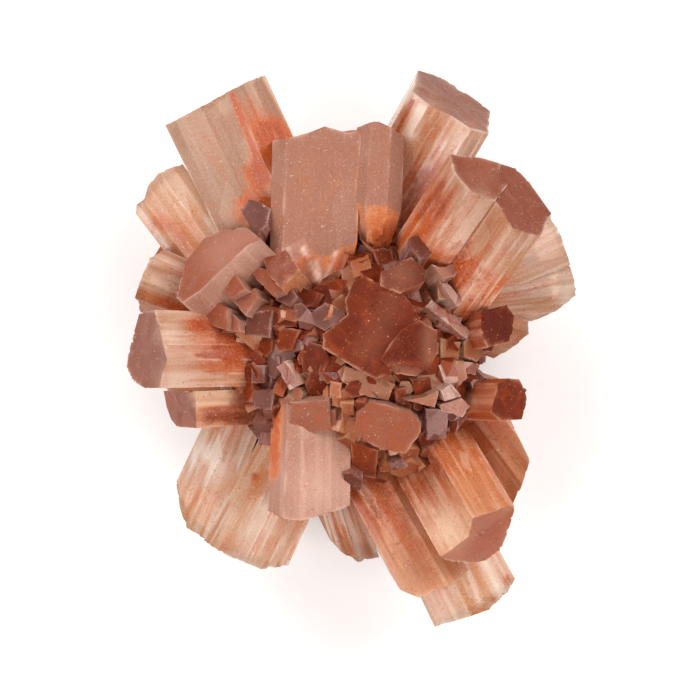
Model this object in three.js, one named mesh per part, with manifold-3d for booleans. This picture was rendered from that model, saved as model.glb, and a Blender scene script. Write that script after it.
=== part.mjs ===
// A radiating aragonite cluster: six-sided prisms with flat end faces, grown together from one centre.
// Units are millimetres and +Z is up. The cluster lies on one broad end face at z = 0, with the middle
// of its outline at x = 0, y = 0. Seen from above, +X is to the right and +Y is away from the viewer.

import * as THREE from "three";
import { mergeVertices } from "three/addons/utils/BufferGeometryUtils.js";
import Module from "manifold-3d";

// Driving dimensions.
const HEART = new THREE.Vector3(0.5, 0, 15.5); // where the crystals radiate from
const HEART_RADII = new THREE.Vector3(9.5, 9.5, 7.5); // the grown-together middle
const MOUND = { x: 0.8, y: -0.4, top: 27.2, fall: 0.042 }; // the patch of small crystals on top
const SEED = 20;

// Crystals that lie nearly level. `edge` is the upper edge of the end, from left to right when one
// looks out along the crystal: x, y and height. `deep` is the thickness under it, and `root` the
// width of the inner end as a share of the outer. Their sides stand square for part of the depth
// and then slope in to a narrower underside.
const LYING_SECTION = { square: 0.45, underside: 0.6 };
const LYING = [
  {
    place: "upper left block",
    heading: 115.5,
    lean: -3,
    length: 22,
    deep: 8,
    root: 0.95,
    edge: [[-18.7, 22.4, 17.6], [-12.1, 25.8, 20.2], [-10.2, 26.8, 19.6], [-8.7, 27.4, 17.8]],
  },
  {
    place: "left lobe beside it",
    heading: 125.6,
    lean: -5,
    length: 18,
    deep: 7,
    root: 0.85,
    edge: [
      [-21.7, 13.6, 15.2], [-21.6, 14.5, 15.8], [-20.9, 14.9, 16.6], [-20.4, 16.4, 17],
      [-19.3, 17.8, 17.4], [-17, 18.6, 17],
    ],
  },
  {
    place: "small left crystal",
    heading: 158,
    lean: 8,
    length: 14,
    deep: 6,
    root: 0.85,
    edge: [[-21.2, 3.7, 16], [-21.7, 5.1, 18], [-21.1, 7, 19], [-20.2, 9.1, 19], [-18.8, 10, 17.5]],
  },
  {
    place: "lower left fan, inner blades",
    heading: 243,
    lean: -6,
    length: 20,
    deep: 8,
    root: 0.85,
    edge: [[-6.5, -21.9, 13.6], [-9.2, -22.1, 15.4], [-12, -21, 15.8], [-15, -19.4, 14.6]],
  },
  {
    place: "lower left fan, outer blades",
    heading: 247,
    lean: -6,
    length: 17,
    deep: 6,
    root: 0.8,
    edge: [[-13.6, -19.6, 14.8], [-16.6, -18.1, 14.6], [-17.4, -15.6, 13.8], [-17.7, -13.4, 12.4]],
  },
  {
    place: "front block",
    heading: 268.5,
    lean: 1,
    length: 15,
    deep: 8,
    root: 0.95,
    edge: [
      [-0.2, -15.6, 23], [-2.2, -16.3, 24], [-5.2, -17.1, 24.2], [-6.8, -16.9, 23.8],
      [-8.4, -16.1, 21.2],
    ],
  },
  {
    place: "narrow blades behind the front block",
    heading: 288,
    lean: -8,
    length: 16,
    deep: 6,
    root: 0.85,
    edge: [
      [2.8, -21.1, 12.6], [0.6, -21.4, 13.8], [-1.1, -20.4, 14], [-2.2, -19.2, 13.4],
      [-3.4, -16.9, 12.4],
    ],
  },
  {
    place: "long lower block",
    heading: 299.5,
    lean: 3,
    length: 23,
    deep: 8,
    root: 0.85,
    edge: [
      [11.8, -22.2, 16.6], [9.8, -23.8, 18.6], [6.6, -24.9, 19.2], [4.8, -24.1, 18.2],
      [3.6, -22.1, 16.6],
    ],
  },
  {
    place: "lowest block, at the right",
    heading: 297,
    lean: -7,
    length: 24,
    deep: 7,
    root: 0.85,
    edge: [
      [16.4, -23.1, 13.2], [15.5, -24.6, 14.8], [13.8, -26.2, 15.2], [10.8, -27.2, 15.2],
      [8.3, -27.9, 14.2],
    ],
  },
  {
    place: "right lower blade",
    heading: 307,
    lean: 4,
    length: 18,
    deep: 6.5,
    root: 0.9,
    edge: [[16, -7.3, 16.6], [16.8, -9.1, 18], [17.8, -11.1, 18.2], [17, -13.6, 17.8], [16.2, -15.6, 16.4]],
  },
  {
    place: "right blade",
    heading: 343,
    lean: 2,
    length: 14,
    deep: 5,
    root: 0.85,
    edge: [[17.8, 2.9, 17.4], [17.9, 1.5, 18.4], [16.3, 0.3, 17.6], [14.4, -1, 16.4]],
  },
  {
    place: "right fan, upper blades",
    heading: 28,
    lean: 1,
    length: 17,
    deep: 7,
    root: 0.5,
    edge: [[18.4, 15.2, 18], [19.9, 13.3, 20.4], [20.9, 11.2, 20.6], [21.8, 8.4, 19.8]],
  },
  {
    place: "right fan, lower blades",
    heading: 8,
    lean: -1,
    length: 16,
    deep: 7,
    root: 0.5,
    edge: [[21.4, 9.4, 19], [22.2, 6.8, 19.8], [22.5, 5.4, 19.2], [20.4, 3.7, 18.2], [18.2, 2.8, 17]],
  },
  {
    place: "top block, left half",
    heading: 88.3,
    lean: 9,
    length: 20,
    deep: 9,
    root: 0.98,
    edge: [
      [-7.9, 20.7, 23.6], [-6.6, 20.9, 24.8], [-4.2, 21.5, 25], [-2.7, 22.1, 25.2],
      [-0.7, 21.5, 25.2], [0.9, 21.8, 24.9],
    ],
  },
  {
    place: "top block, right half",
    heading: 87,
    lean: 9,
    length: 19,
    deep: 8,
    root: 1.1,
    edge: [[0.5, 22, 24.6], [1.8, 22.5, 25.5], [2.6, 22.6, 25.6], [3.9, 22, 25.3], [5.2, 21.1, 23.6]],
  },
];

// Crystals that rise towards the viewer. `face` holds the corners of the end face as seen from
// above, and the face is square to the axis; `height` is the middle of the face.
const RISING = [
  {
    place: "left six-sided crystal",
    heading: 180,
    lean: 30,
    height: 23,
    length: 17,
    root: 0.9,
    face: [
      [-21.2, 3.5], [-19.6, 3.9], [-18.9, 1.4], [-18.3, -1.1], [-18.7, -2.3], [-19, -3.9],
      [-20.6, -3.9], [-21.9, -3.2], [-22.5, -1.8], [-22.3, -0.3],
    ],
  },
  {
    place: "crystal under it",
    heading: 183,
    lean: 25,
    height: 17,
    length: 14,
    root: 0.9,
    face: [[-18.9, -4.2], [-15.5, -4.2], [-15.5, -7.9], [-17.5, -7.8], [-18.1, -7.1], [-18.6, -5.8]],
  },
  {
    place: "left inner crystal, crescent end",
    heading: 135,
    lean: 38,
    height: 22.2,
    length: 12,
    root: 0.95,
    face: [
      [-17.5, 5.1], [-17.2, 6.4], [-16.6, 8.7], [-14.7, 11.1], [-12.7, 12], [-10.5, 12.1],
      [-9, 10.9], [-10.2, 10.4], [-12.4, 8.4], [-15.2, 5.7], [-16.9, 4.6],
    ],
  },
  {
    place: "upper right crystal",
    heading: 60,
    lean: 28,
    height: 22,
    length: 21,
    root: 0.95,
    face: [
      [6.6, 27.8], [5.9, 25.6], [7.6, 24.2], [10, 23], [11.8, 21.8], [13.6, 21.4], [13.8, 23.7],
      [12.6, 24.7], [10.1, 26.4], [8.8, 27.2],
    ],
  },
  {
    place: "largest crystal, left part",
    heading: 56,
    lean: 44,
    height: 30.4,
    length: 19,
    root: 0.9,
    face: [
      [9.6, 19.3], [12.9, 18.9], [14.6, 18.4], [15.4, 16.2], [14.1, 14.6], [11.8, 15.4], [10.6, 16.7],
      [10, 17.6],
    ],
  },
  {
    place: "largest crystal, right part",
    heading: 56,
    lean: 44,
    height: 30,
    length: 19,
    root: 0.9,
    face: [
      [13.4, 18.7], [16.2, 17.9], [17.5, 16.6], [19.7, 13.4], [18.5, 11], [15.8, 11.9], [15.1, 13.1],
      [13.9, 14.8],
    ],
  },
  {
    place: "lower right orange crystal",
    heading: 300,
    lean: 32,
    height: 22.4,
    length: 18,
    root: 0.95,
    face: [
      [8.8, -20.7], [11.6, -18.6], [11.9, -16.7], [15.6, -15.6], [16.2, -15.7], [15.6, -18.1],
      [14.8, -20.1], [13.3, -21.1], [11.8, -21.4], [9.5, -21.1],
    ],
  },
  {
    place: "right dark crystal",
    heading: 0,
    lean: 50,
    height: 22.6,
    length: 12,
    root: 0.9,
    face: [
      [14.5, -3.4], [15.6, -2.9], [16.6, -3], [17.4, -4.1], [17.4, -5.3], [16.9, -7], [14.8, -7.2],
      [13.8, -6.3],
    ],
  },
  {
    place: "right darkest crystal",
    heading: 12,
    lean: 58,
    height: 23.4,
    length: 11,
    root: 0.9,
    face: [[12.8, 3.8], [15.4, 4.4], [16.1, 3.3], [16, 1.9], [15.7, 0.8], [13.5, 0.1], [12.8, 1.4]],
  },
  {
    place: "grey crystal between the upper left block and the top block",
    heading: 120,
    lean: 62,
    height: 22.6,
    length: 8,
    root: 0.85,
    face: [[-11.2, 13.9], [-10.2, 14.9], [-9, 14.6], [-8.1, 13.9], [-8.4, 12.4], [-9.4, 11.4]],
  },
  {
    place: "middle plate",
    heading: 100,
    lean: 80,
    height: 27.4,
    length: 9,
    root: 0.8,
    face: [
      [0.2, 6.7], [1.3, 7.2], [2.8, 6.5], [4.8, 5.7], [5.8, 4.6], [6.8, 3.1], [5, 1.9], [3.6, 0.5],
      [2.7, -1.1], [3.8, -2.5], [2.3, -3], [-0.2, -1.6], [-2.9, 0.1], [-2.9, 1.5], [-0.5, 3.4], [-0.7, 4.9],
    ],
  },
  {
    place: "plate to its right",
    heading: -20,
    lean: 76,
    height: 27,
    length: 9,
    root: 0.8,
    face: [
      [3.7, 0.4], [5, 1.9], [6.7, 2.9], [8.4, 1.8], [8.5, -0.1], [7.9, -1.6], [6.3, -2.7], [4.4, -2.5],
      [2.9, -1.1],
    ],
  },
  {
    place: "plate above it",
    heading: 65,
    lean: 70,
    height: 26.6,
    length: 9,
    root: 0.8,
    face: [
      [2.9, 7.7], [4, 8], [4.7, 8.7], [5.9, 9.1], [7.3, 7.8], [7.2, 6.7], [5.9, 6.1], [4.8, 5.5],
      [2.8, 6.3],
    ],
  },
  {
    place: "lower plate",
    heading: -78,
    lean: 68,
    height: 25.6,
    length: 9,
    root: 0.8,
    face: [
      [1.8, -5.3], [3.3, -5.5], [5.9, -6.4], [6.8, -7.3], [6.8, -8.4], [5.3, -10.4], [2.8, -10],
      [1.3, -9.1], [0.3, -7.9], [0.4, -6.6],
    ],
  },
];

// Small crystals of the mound, by the corners of their end faces as seen from above. They point
// away from the heart. `up` lifts or sinks one against the mound.
const MOUND_FACES = [
  { up: 4.6, face: [[-13.9, 7.2], [-12.2, 8.4], [-10.5, 5.9], [-12.2, 5.1]] },
  { up: 2.2, face: [[-12.1, 5], [-9.6, 6.1], [-9.3, 5.2], [-10.6, 3.3]] },
  { up: 4.6, face: [[-16.4, 4.4], [-15.2, 5.6], [-12.4, 4.1], [-12.4, 1.8], [-15.2, 2.8]] },
  { up: 2.2, face: [[-12.4, 4.1], [-11.2, 2.9], [-11.2, 1.7], [-13, 1.6]] },
  { up: 1.8, face: [[-10.3, 7.7], [-9.6, 8.2], [-8.6, 8], [-6.8, 5.7], [-7.9, 5.3]] },
  { up: 0, face: [[-7.6, 4.9], [-6.2, 6.4], [-5.4, 5.2], [-6.2, 4.2]] },
  { up: -0.2, face: [[-5.8, 4.4], [-5, 4.6], [-3.2, 2.7], [-4.2, 1.9], [-5.2, 2.1]] },
  { up: 0, face: [[-4, 3.7], [-2.7, 4.6], [-0.7, 3.7], [-0.7, 3.1], [-2.7, 1.8], [-3.8, 2.4]] },
  { up: 0.2, face: [[-10.5, 3.6], [-8, 3.9], [-8.2, 1.1], [-10.7, 1.4]] },
  { up: -0.6, face: [[-8, 3.9], [-5.5, 3.7], [-5.5, 2.2], [-8, 2.2]] },
  { up: 0.1, face: [[-7.7, 0.8], [-7, 1.9], [-6.1, 2.1], [-5.2, 1.9], [-6.1, -0.1], [-7.3, -0.3]] },
  { up: 0.1, face: [[-7.5, -1.8], [-6.7, -1.2], [-6.2, -1.6], [-5.2, -3.6], [-6.2, -4.1]] },
  { up: -0.3, face: [[-10, -1.6], [-8.7, -1.6], [-8.7, -3.4], [-10, -3.4]] },
  { up: -0.3, face: [[-10, -4.1], [-7.7, -4.1], [-8, -6.1], [-9.7, -5.9]] },
  { up: -0.4, face: [[-3.4, -2.3], [-1.2, -2.3], [-1.4, -3.1], [-3.2, -3.2]] },
  { up: -0.2, face: [[-2.2, -3.2], [-1, -3.4], [-1.1, -4.8], [-2.2, -4.9]] },
  { up: 2.8, face: [[-0.9, -12.4], [0, -12.4], [1.1, -13.1], [0.8, -14.1], [-0.7, -13.8]] },
  { up: 0.2, face: [[3.5, -11.3], [5, -11], [5.6, -11.7], [4.1, -12.1]] },
  { up: -0.2, face: [[-1.2, -5.3], [0.2, -5.3], [0.2, -6.6], [-1, -6.4]] },
  { up: 2.6, face: [[5.7, 11.2], [6.8, 11.3], [8.6, 10.2], [7.9, 9.5], [6.8, 8.9], [5.8, 10.1]] },
  { up: 3.4, face: [[7.9, 8.4], [8.8, 8.1], [10.1, 8.5], [10.5, 7.9], [10.3, 7.3], [9.5, 7], [8.8, 7.3]] },
  { up: 0, face: [[10.8, -1.2], [12.5, -1.4], [12.3, -2.6], [10.9, -2.4]] },
  { up: 0, face: [[11.6, 5.1], [12.7, 4.9], [12.6, 2.4], [11.7, 2.7]] },
  { up: 2, face: [[7.8, 8.1], [8.5, 7.8], [11.1, 4.7], [10.4, 4.2]] },
  { up: 0.2, face: [[7.3, 4.2], [7.9, 4.9], [12, 1.7], [11.4, 1]] },
  { up: 0.2, face: [[11.2, 0.8], [11.8, 1.3], [12.8, 0.7], [13.2, -0.6], [12.4, -1.3], [11.1, -0.8]] },
  { up: 0.4, face: [[5.3, -5.1], [7.3, -4.7], [9.8, -3.6], [11.8, -5.6], [11, -6.6], [8.8, -5.9]] },
  { up: 0.1, face: [[7.3, -5.9], [9.6, -6.1], [9.4, -8.9], [7.5, -9.1]] },
  { up: -0.6, face: [[-0.7, -1.7], [2.8, -2.9], [4.3, -3.5], [3.6, -5.1], [0.8, -4.6], [-1, -3.1]] },
  { up: -0.5, face: [[-5.2, 0.9], [-3, 0.4], [-2.2, -1.1], [-3, -2.6], [-4.9, -2.3]] },
  { up: 0.2, face: [[-0.1, -9.2], [2.6, -10.1], [2.4, -12.9], [0, -12.5]] },
  { up: 2.2, face: [[-9, 9.9], [-6.7, 10.1], [-5.2, 7.9], [-7, 5.9], [-8.4, 7.4]] },
  { up: 0.2, face: [[-6.2, -5.3], [-2.4, -5.1], [-2.2, -8.1], [-6.4, -8.8]] },
  { up: -0.3, face: [[-2.4, -6.1], [-1.7, -6.1], [-1.6, -8.3], [-2.4, -8.1]] },
  { up: -0.4, face: [[4.3, -3.8], [5.4, -3.9], [5.3, -5.5], [4.4, -5.6]] },
  { up: -0.2, face: [[2, 9.9], [3.8, 10.1], [4.3, 8.7], [2.8, 7.9]] },
  { up: -0.3, face: [[-0.2, 8.7], [1.6, 9.4], [2, 7.9], [0.3, 7.1]] },
  { up: 1, face: [[8.4, 6.9], [9.8, 6.4], [10, 4.9], [8.6, 4.9]] },
  { up: -0.5, face: [[8.8, 3.9], [11, 3.1], [10.3, 1.4], [8.6, 2.4]] },
  { up: -0.4, face: [[8.8, 1.1], [10.8, 0.7], [10.6, -1.1], [8.8, -1.3]] },
  { up: -0.3, face: [[8.6, -1.6], [10.4, -1.4], [11, -3.1], [9.3, -3.6]] },
  { up: -0.2, face: [[11.8, -3.1], [13.8, -2.9], [14, -4.6], [12.3, -5.1]] },
  { up: -0.5, face: [[6, -3.1], [7.8, -2.9], [8, -4.5], [6.3, -4.7]] },
];
const MOUND_CRYSTAL = { length: 6.5, root: 0.85, leastLean: 55 }; // the end faces of the mound look up

// Crystals of the sides and the underside: the middle of the end face, and the width across. One
// that is `planted` reaches down to the surface that the cluster lies on.
const LOWER = [
  { place: "foot", tip: [1.5, -1.5, 0], across: 10.5, turn: 10, heading: 0, lean: -90 },
  { place: "planted, far left", tip: [-9.6, 10.6, 2], across: 8, planted: true },
  { place: "planted, near left", tip: [-9.8, -9.6, 2], across: 7.6, planted: true },
  { place: "planted, right", tip: [12.2, 4.6, 2], across: 8, planted: true },
  { place: "planted, near right", tip: [8.6, -12.4, 2], across: 7.4, planted: true },
  { place: "under the upper left block", tip: [-12.6, 18.4, 8.6], across: 9 },
  { place: "under the left lobe", tip: [-18.4, 9.4, 8], across: 8.4 },
  { place: "under the left crystal", tip: [-17.6, -1.6, 7], across: 9 },
  { place: "under the lower left fan", tip: [-12.8, -13.6, 6.6], across: 8.4 },
  { place: "under the front block", tip: [-4.6, -14.8, 7], across: 8 },
  { place: "under the long lower block", tip: [7.4, -20, 7.6], across: 8.8 },
  { place: "under the lower right crystal", tip: [13.4, -13, 8.4], across: 8.2 },
  { place: "under the dark crystals", tip: [11.6, -1.4, 8.6], across: 5.6 },
  { place: "under the right fan", tip: [18, 9, 9.4], across: 8.6 },
  { place: "under the largest crystal", tip: [10.6, 18.2, 8.6], across: 9 },
  { place: "under the top block", tip: [-1.6, 18.8, 9.6], across: 9 },
  { place: "low, far", tip: [3, 13.6, 3.2], across: 7.6 },
  { place: "low, left", tip: [-12.8, 1, 3], across: 7.4 },
  { place: "low, near", tip: [-1, -12.8, 2.6], across: 7 },
  { place: "low, right", tip: [13, -5.4, 4], across: 6.4 },
  { place: "beside the foot, left", tip: [-6.4, -1, 1.4], across: 6.2 },
  { place: "beside the foot, far", tip: [-1.4, 6.4, 1.6], across: 6.6 },
  { place: "beside the foot, right", tip: [8, 0.6, 2], across: 5.4 },
];
const LOWER_CRYSTAL = { root: 0.62, reach: 0.8 }; // narrowing inwards, this share of the way to the heart

// Small crystals that fill the gaps, spread evenly over the cluster by a spiral. Those of the
// underside reach further out, because they stand among longer crystals.
const FILLERS = {
  count: 170,
  upperReach: [9.6, 11.6],
  lowerReach: [12.5, 16],
  across: [1.6, 3.8],
  length: 8,
  root: 0.8,
  flatten: 0.85, // the whole cluster is a little flatter than a ball
  floor: 0.6,
};

const GOLDEN_ANGLE = Math.PI * (3 - Math.sqrt(5));
const HEXAGON_RADII = [1, 0.94, 1.05, 0.98, 0.92, 1.03]; // twinned aragonite is only nearly six-sided

const wasm = await Module();
wasm.setup();

// A repeatable stream of numbers from 0 to 1.
function seededNumbers(seed) {
  let state = seed;
  return () => {
    state = (Math.imul(state, 1664525) + 1013904223) >>> 0;
    return state / 4294967296;
  };
}

// The frame of a crystal: u runs level across it, v up its upper side, and w out along its axis.
function crystalFrame(heading, lean) {
  const h = THREE.MathUtils.degToRad(heading);
  const e = THREE.MathUtils.degToRad(lean);
  const w = new THREE.Vector3(Math.cos(e) * Math.cos(h), Math.cos(e) * Math.sin(h), Math.sin(e));
  const u = new THREE.Vector3(-Math.sin(h), Math.cos(h), 0);
  const v = new THREE.Vector3().crossVectors(w, u);
  return { u, v, w };
}

// Heading and lean, in degrees, of the way from the heart to a point.
function outwards(point) {
  const way = point.clone().sub(HEART);
  const heading = THREE.MathUtils.radToDeg(Math.atan2(way.y, way.x));
  const lean = THREE.MathUtils.radToDeg(Math.atan2(way.z, Math.hypot(way.x, way.y)));
  return { heading, lean };
}

// A closed geometry as a solid that can be joined.
function toSolid(geometry) {
  const bare = geometry.clone();
  bare.deleteAttribute("normal");
  bare.deleteAttribute("uv");
  const merged = mergeVertices(bare, 1e-4);
  return new wasm.Manifold(
    new wasm.Mesh({
      numProp: 3,
      vertProperties: new Float32Array(merged.attributes.position.array),
      triVerts: new Uint32Array(merged.index.array),
    }),
  );
}

// A prism from its tip back to its root. `section` holds the [u, v] corners round the axis, and
// `endAt(u, v)` says how far the end face stands out at that corner.
function prism({ tip, frame, section, length, root, endAt = () => 0 }) {
  const outline = new THREE.Shape(section.map(([u, v]) => new THREE.Vector2(u, v)));
  const geometry = new THREE.ExtrudeGeometry(outline, { depth: length, bevelEnabled: false });
  const places = geometry.attributes.position;
  for (let i = 0; i < places.count; i++) {
    const atTip = places.getZ(i) > length / 2;
    const scale = atTip ? 1 : root;
    const out = atTip ? endAt(places.getX(i), places.getY(i)) : -length;
    places.setXYZ(i, places.getX(i) * scale, places.getY(i) * scale, out);
  }
  const placing = new THREE.Matrix4().makeBasis(frame.u, frame.v, frame.w).setPosition(tip);
  return toSolid(geometry.applyMatrix4(placing));
}

// The value at `x` on the line through [x, y] pairs that run from high x to low x.
function alongLine(pairs, x) {
  const last = pairs.length - 1;
  if (x >= pairs[0][0]) return pairs[0][1];
  if (x <= pairs[last][0]) return pairs[last][1];
  const i = pairs.findIndex(([px]) => px <= x);
  const [x0, y0] = pairs[i - 1];
  const [x1, y1] = pairs[i];
  return THREE.MathUtils.mapLinear(x, x0, x1, y0, y1);
}

// A crystal that lies nearly level, by the upper edge of its end.
function lyingCrystal({ heading, lean, length, deep, root, edge }) {
  const frame = crystalFrame(heading, lean);
  const corners = edge.map((corner) => new THREE.Vector3(...corner));
  const tip = corners[0].clone().add(corners.at(-1)).multiplyScalar(0.5);
  const local = corners.map((corner) => {
    const way = corner.clone().sub(tip);
    return { u: way.dot(frame.u), v: way.dot(frame.v), w: way.dot(frame.w) };
  });
  const left = local[0];
  const right = local.at(-1);
  const middle = (left.v + right.v) / 2 - deep / 2;
  const square = deep * LYING_SECTION.square;
  const section = [
    ...local.map(({ u, v }) => [u, v - middle]),
    [right.u, right.v - middle - square],
    [right.u * LYING_SECTION.underside, -deep / 2],
    [left.u * LYING_SECTION.underside, -deep / 2],
    [left.u, left.v - middle - square],
  ];
  tip.addScaledVector(frame.v, middle);
  const ends = local.map(({ u, w }) => [u, w]);
  const tops = local.map(({ u, v }) => [u, v - middle]);
  // The end of a crystal that rises outwards is cut upright, so it doesn't lean out from its edge.
  const undercut = Math.tan(THREE.MathUtils.degToRad(Math.max(lean, 0)));
  const endAt = (u, v) => alongLine(ends, u) + undercut * (v - alongLine(tops, u));
  return prism({ tip, frame, section, length, root, endAt });
}

// The mean of a face's corners.
function middleOf(face) {
  const mean = (axis) => face.reduce((sum, corner) => sum + corner[axis], 0) / face.length;
  return [mean(0), mean(1)];
}

// A crystal that rises towards the viewer, by its end face as seen from above.
function risingCrystal({ heading, lean, height, length, root, face }) {
  const frame = crystalFrame(heading, lean);
  const middle = middleOf(face);
  const slope = Math.sin(THREE.MathUtils.degToRad(lean));
  const h = THREE.MathUtils.degToRad(heading);
  const section = face.map(([x, y]) => {
    const dx = x - middle[0];
    const dy = y - middle[1];
    const out = dx * Math.cos(h) + dy * Math.sin(h);
    return [dx * frame.u.x + dy * frame.u.y, -out / slope];
  });
  return prism({ tip: new THREE.Vector3(...middle, height), frame, section, length, root });
}

// The height of the mound over a place.
function moundHeight(x, y) {
  return MOUND.top - MOUND.fall * ((x - MOUND.x) ** 2 + (y - MOUND.y) ** 2);
}

// A small crystal of the mound.
function moundCrystal({ up, face }) {
  const [x, y] = middleOf(face);
  const height = moundHeight(x, y) + up;
  const { heading, lean } = outwards(new THREE.Vector3(x, y, height));
  const { length, root, leastLean } = MOUND_CRYSTAL;
  return risingCrystal({ heading, lean: Math.max(lean, leastLean), height, length, root, face });
}

// Six corners round the axis, not quite even.
function hexagon(across, turn) {
  return HEXAGON_RADII.map((share, i) => {
    const angle = THREE.MathUtils.degToRad(turn + 60 * i);
    return [(across / 2) * share * Math.cos(angle), (across / 2) * share * Math.sin(angle)];
  });
}

// A crystal of the sides or the underside.
function lowerCrystal({ tip, across, planted, turn = 20, heading, lean }) {
  const end = new THREE.Vector3(...tip);
  const way = outwards(end);
  const frame = crystalFrame(heading ?? way.heading, lean ?? way.lean);
  const length = end.distanceTo(HEART) * LOWER_CRYSTAL.reach;
  const section = hexagon(across, turn);
  const solid = prism({ tip: end, frame, section, length, root: LOWER_CRYSTAL.root });
  return planted ? solid.translate([0, 0, -solid.boundingBox().min[2]]) : solid;
}

// The small crystals that fill the gaps all round.
function fillerCrystals() {
  const next = seededNumbers(SEED);
  const between = ([low, high]) => low + (high - low) * next();
  return Array.from({ length: FILLERS.count }, (_, i) => {
    const rise = 1 - (2 * (i + 0.5)) / FILLERS.count;
    const ring = Math.sqrt(1 - rise * rise);
    const way = new THREE.Vector3(
      ring * Math.cos(i * GOLDEN_ANGLE),
      ring * Math.sin(i * GOLDEN_ANGLE),
      rise * FILLERS.flatten,
    );
    const reach = between(rise > 0 ? FILLERS.upperReach : FILLERS.lowerReach);
    const across = between(FILLERS.across);
    const turn = 60 * next();
    const tip = HEART.clone().addScaledVector(way, reach);
    tip.z = Math.max(tip.z, FILLERS.floor + across / 2);
    const { heading, lean } = outwards(tip);
    const frame = crystalFrame(heading, lean);
    const section = hexagon(across, turn);
    return prism({ tip, frame, section, length: FILLERS.length, root: FILLERS.root });
  });
}

// The middle where everything has grown together.
function heart() {
  const ball = new THREE.IcosahedronGeometry(1, 1).scale(HEART_RADII.x, HEART_RADII.y, HEART_RADII.z);
  return toSolid(ball.translate(HEART.x, HEART.y, HEART.z));
}

// One closed body, without the pockets left between crystals.
function joined(solids) {
  const whole = wasm.Manifold.union(solids);
  return whole.decompose().reduce((most, body) => (body.volume() > most.volume() ? body : most));
}

// A solid as a three.js geometry.
function toGeometry(solid) {
  const mesh = solid.getMesh();
  return new THREE.BufferGeometry()
    .setAttribute("position", new THREE.BufferAttribute(mesh.vertProperties, mesh.numProp))
    .setIndex(new THREE.BufferAttribute(mesh.triVerts, 1));
}

const body = joined([
  heart(),
  ...LYING.map(lyingCrystal),
  ...RISING.map(risingCrystal),
  ...MOUND_FACES.map(moundCrystal),
  ...LOWER.map(lowerCrystal),
  ...fillerCrystals(),
]);

const aragonite = new THREE.MeshStandardMaterial({
  color: 0xb9785a,
  roughness: 0.4,
  metalness: 0,
  flatShading: true,
});
const cluster = new THREE.Mesh(toGeometry(body), aragonite);
cluster.name = "aragonite_cluster";

const group = new THREE.Group();
group.add(cluster);

export default group;
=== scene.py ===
"""A radiating aragonite cluster, dressed: every prism with its striae, chipped rims and stepped end face.

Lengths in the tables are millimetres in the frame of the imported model, +Z up, and MM turns them to metres.
"""

import logging
import math
from collections.abc import Iterator
from dataclasses import dataclass, field, replace
from enum import Enum
from functools import partial

import bpy
import numpy as np
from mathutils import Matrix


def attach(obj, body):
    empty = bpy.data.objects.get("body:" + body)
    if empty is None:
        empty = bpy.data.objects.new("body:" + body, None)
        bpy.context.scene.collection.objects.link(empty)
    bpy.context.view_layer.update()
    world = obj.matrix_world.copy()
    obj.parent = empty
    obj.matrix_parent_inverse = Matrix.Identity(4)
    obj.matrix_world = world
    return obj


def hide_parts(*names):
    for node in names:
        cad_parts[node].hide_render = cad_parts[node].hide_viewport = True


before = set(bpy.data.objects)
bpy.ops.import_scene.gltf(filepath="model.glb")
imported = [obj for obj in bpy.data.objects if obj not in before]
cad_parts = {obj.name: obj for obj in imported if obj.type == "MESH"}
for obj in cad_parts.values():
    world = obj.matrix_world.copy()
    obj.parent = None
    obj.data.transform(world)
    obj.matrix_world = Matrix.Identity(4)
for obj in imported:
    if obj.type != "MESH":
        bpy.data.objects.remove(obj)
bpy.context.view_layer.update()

MM = 0.001
CLUSTER = "aragonite_cluster"
LOG = logging.getLogger("aragonite")

Corner = tuple[float, float]
Place = tuple[float, float, float]

# The point that the crystals radiate from, and the mound of small ones on top.
HEART = np.array([0.5, 0.0, 15.5])
HEART_RADII = np.array([9.5, 9.5, 7.5])
MOUND_MIDDLE = np.array([0.8, -0.4])
MOUND_TOP = 27.2
MOUND_FALL = 0.042
MOUND_LEAN = 55
HEART_DEPTH = 15.0
HEXAGON_RADII = (1, 0.94, 1.05, 0.98, 0.92, 1.03)

# What each vertex tells the material as one number; "grain", its place in the crystal, is a vector.
LABELS = ("end", "depth", "tone", "rusty", "fibre", "milky", "round", "edge")

# Steps along the sides: their widths, and how high the narrow ones are beside the wide.
WIDE_STRIA, NARROW_STRIA, NARROW_SHARE = 0.55, 0.2, 0.35
# Blades that split a slanting end: their width, and how far they stand apart at most.
BLADE_WIDTH, BLADE_STEP = 1.1, 0.22
# A gentle swell of the sides: its width, and its stretch along the axis.
WAVE_WIDTH, WAVE_STRETCH = 1.6, 0.22
# Chips in the rim: their width, how much of the rim has none, and how far they reach down the side.
CHIP_WIDTH, CHIP_LEVEL, CHIP_REACH = 0.5, 0.25, 0.2
# A fracture at the root: its ragged border, the length of its slope, and its depth.
FRACTURE_WIDTH, FRACTURE_RAGGED, FRACTURE_SLOPE, FRACTURE_DEPTH = 4.0, 1.2, 5.0, 1.8
# Shell-shaped hollows in that fracture.
SHELL_WIDTH, SHELL_DEPTH = 2.2, 1.1
# Low terraces on the end faces: their width, how many levels they have, and the height of one.
TERRACE_WIDTH, TERRACE_LEVELS, TERRACE_RISE = 1.6, 2.4, 0.035
# Differences of tone round the sides, and milky bands that run back from the tip.
TONE_WIDTH, BAND_WIDTH, BAND_LENGTH = 0.8, 1.3, 6.0
# The pale line at an edge, a chipped rim with a painted highlight along it: its width at a corner, below the
# rim and on the end face.
RIDGE_WIDTH, RIM_WIDTH, END_RIM_WIDTH = 0.12, 0.14, 0.12
# The rings of points: the first ones back from the tip, the next one, and those of the end face as
# shares of its rim.
NEAR_RINGS, FIRST_FAR_RING = (0.0, 0.12, 0.35, 0.8), 1.5
END_RINGS = (0.985, 0.93, 0.8, 0.62, 0.42, 0.2)
SHARP_ANGLE = 24
UNBROKEN = 99.0
# How far apart the patterns of two crystals are set, so that none repeats.
GRAIN_SHIFT, ROUND_SHIFT = 90, 500


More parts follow.
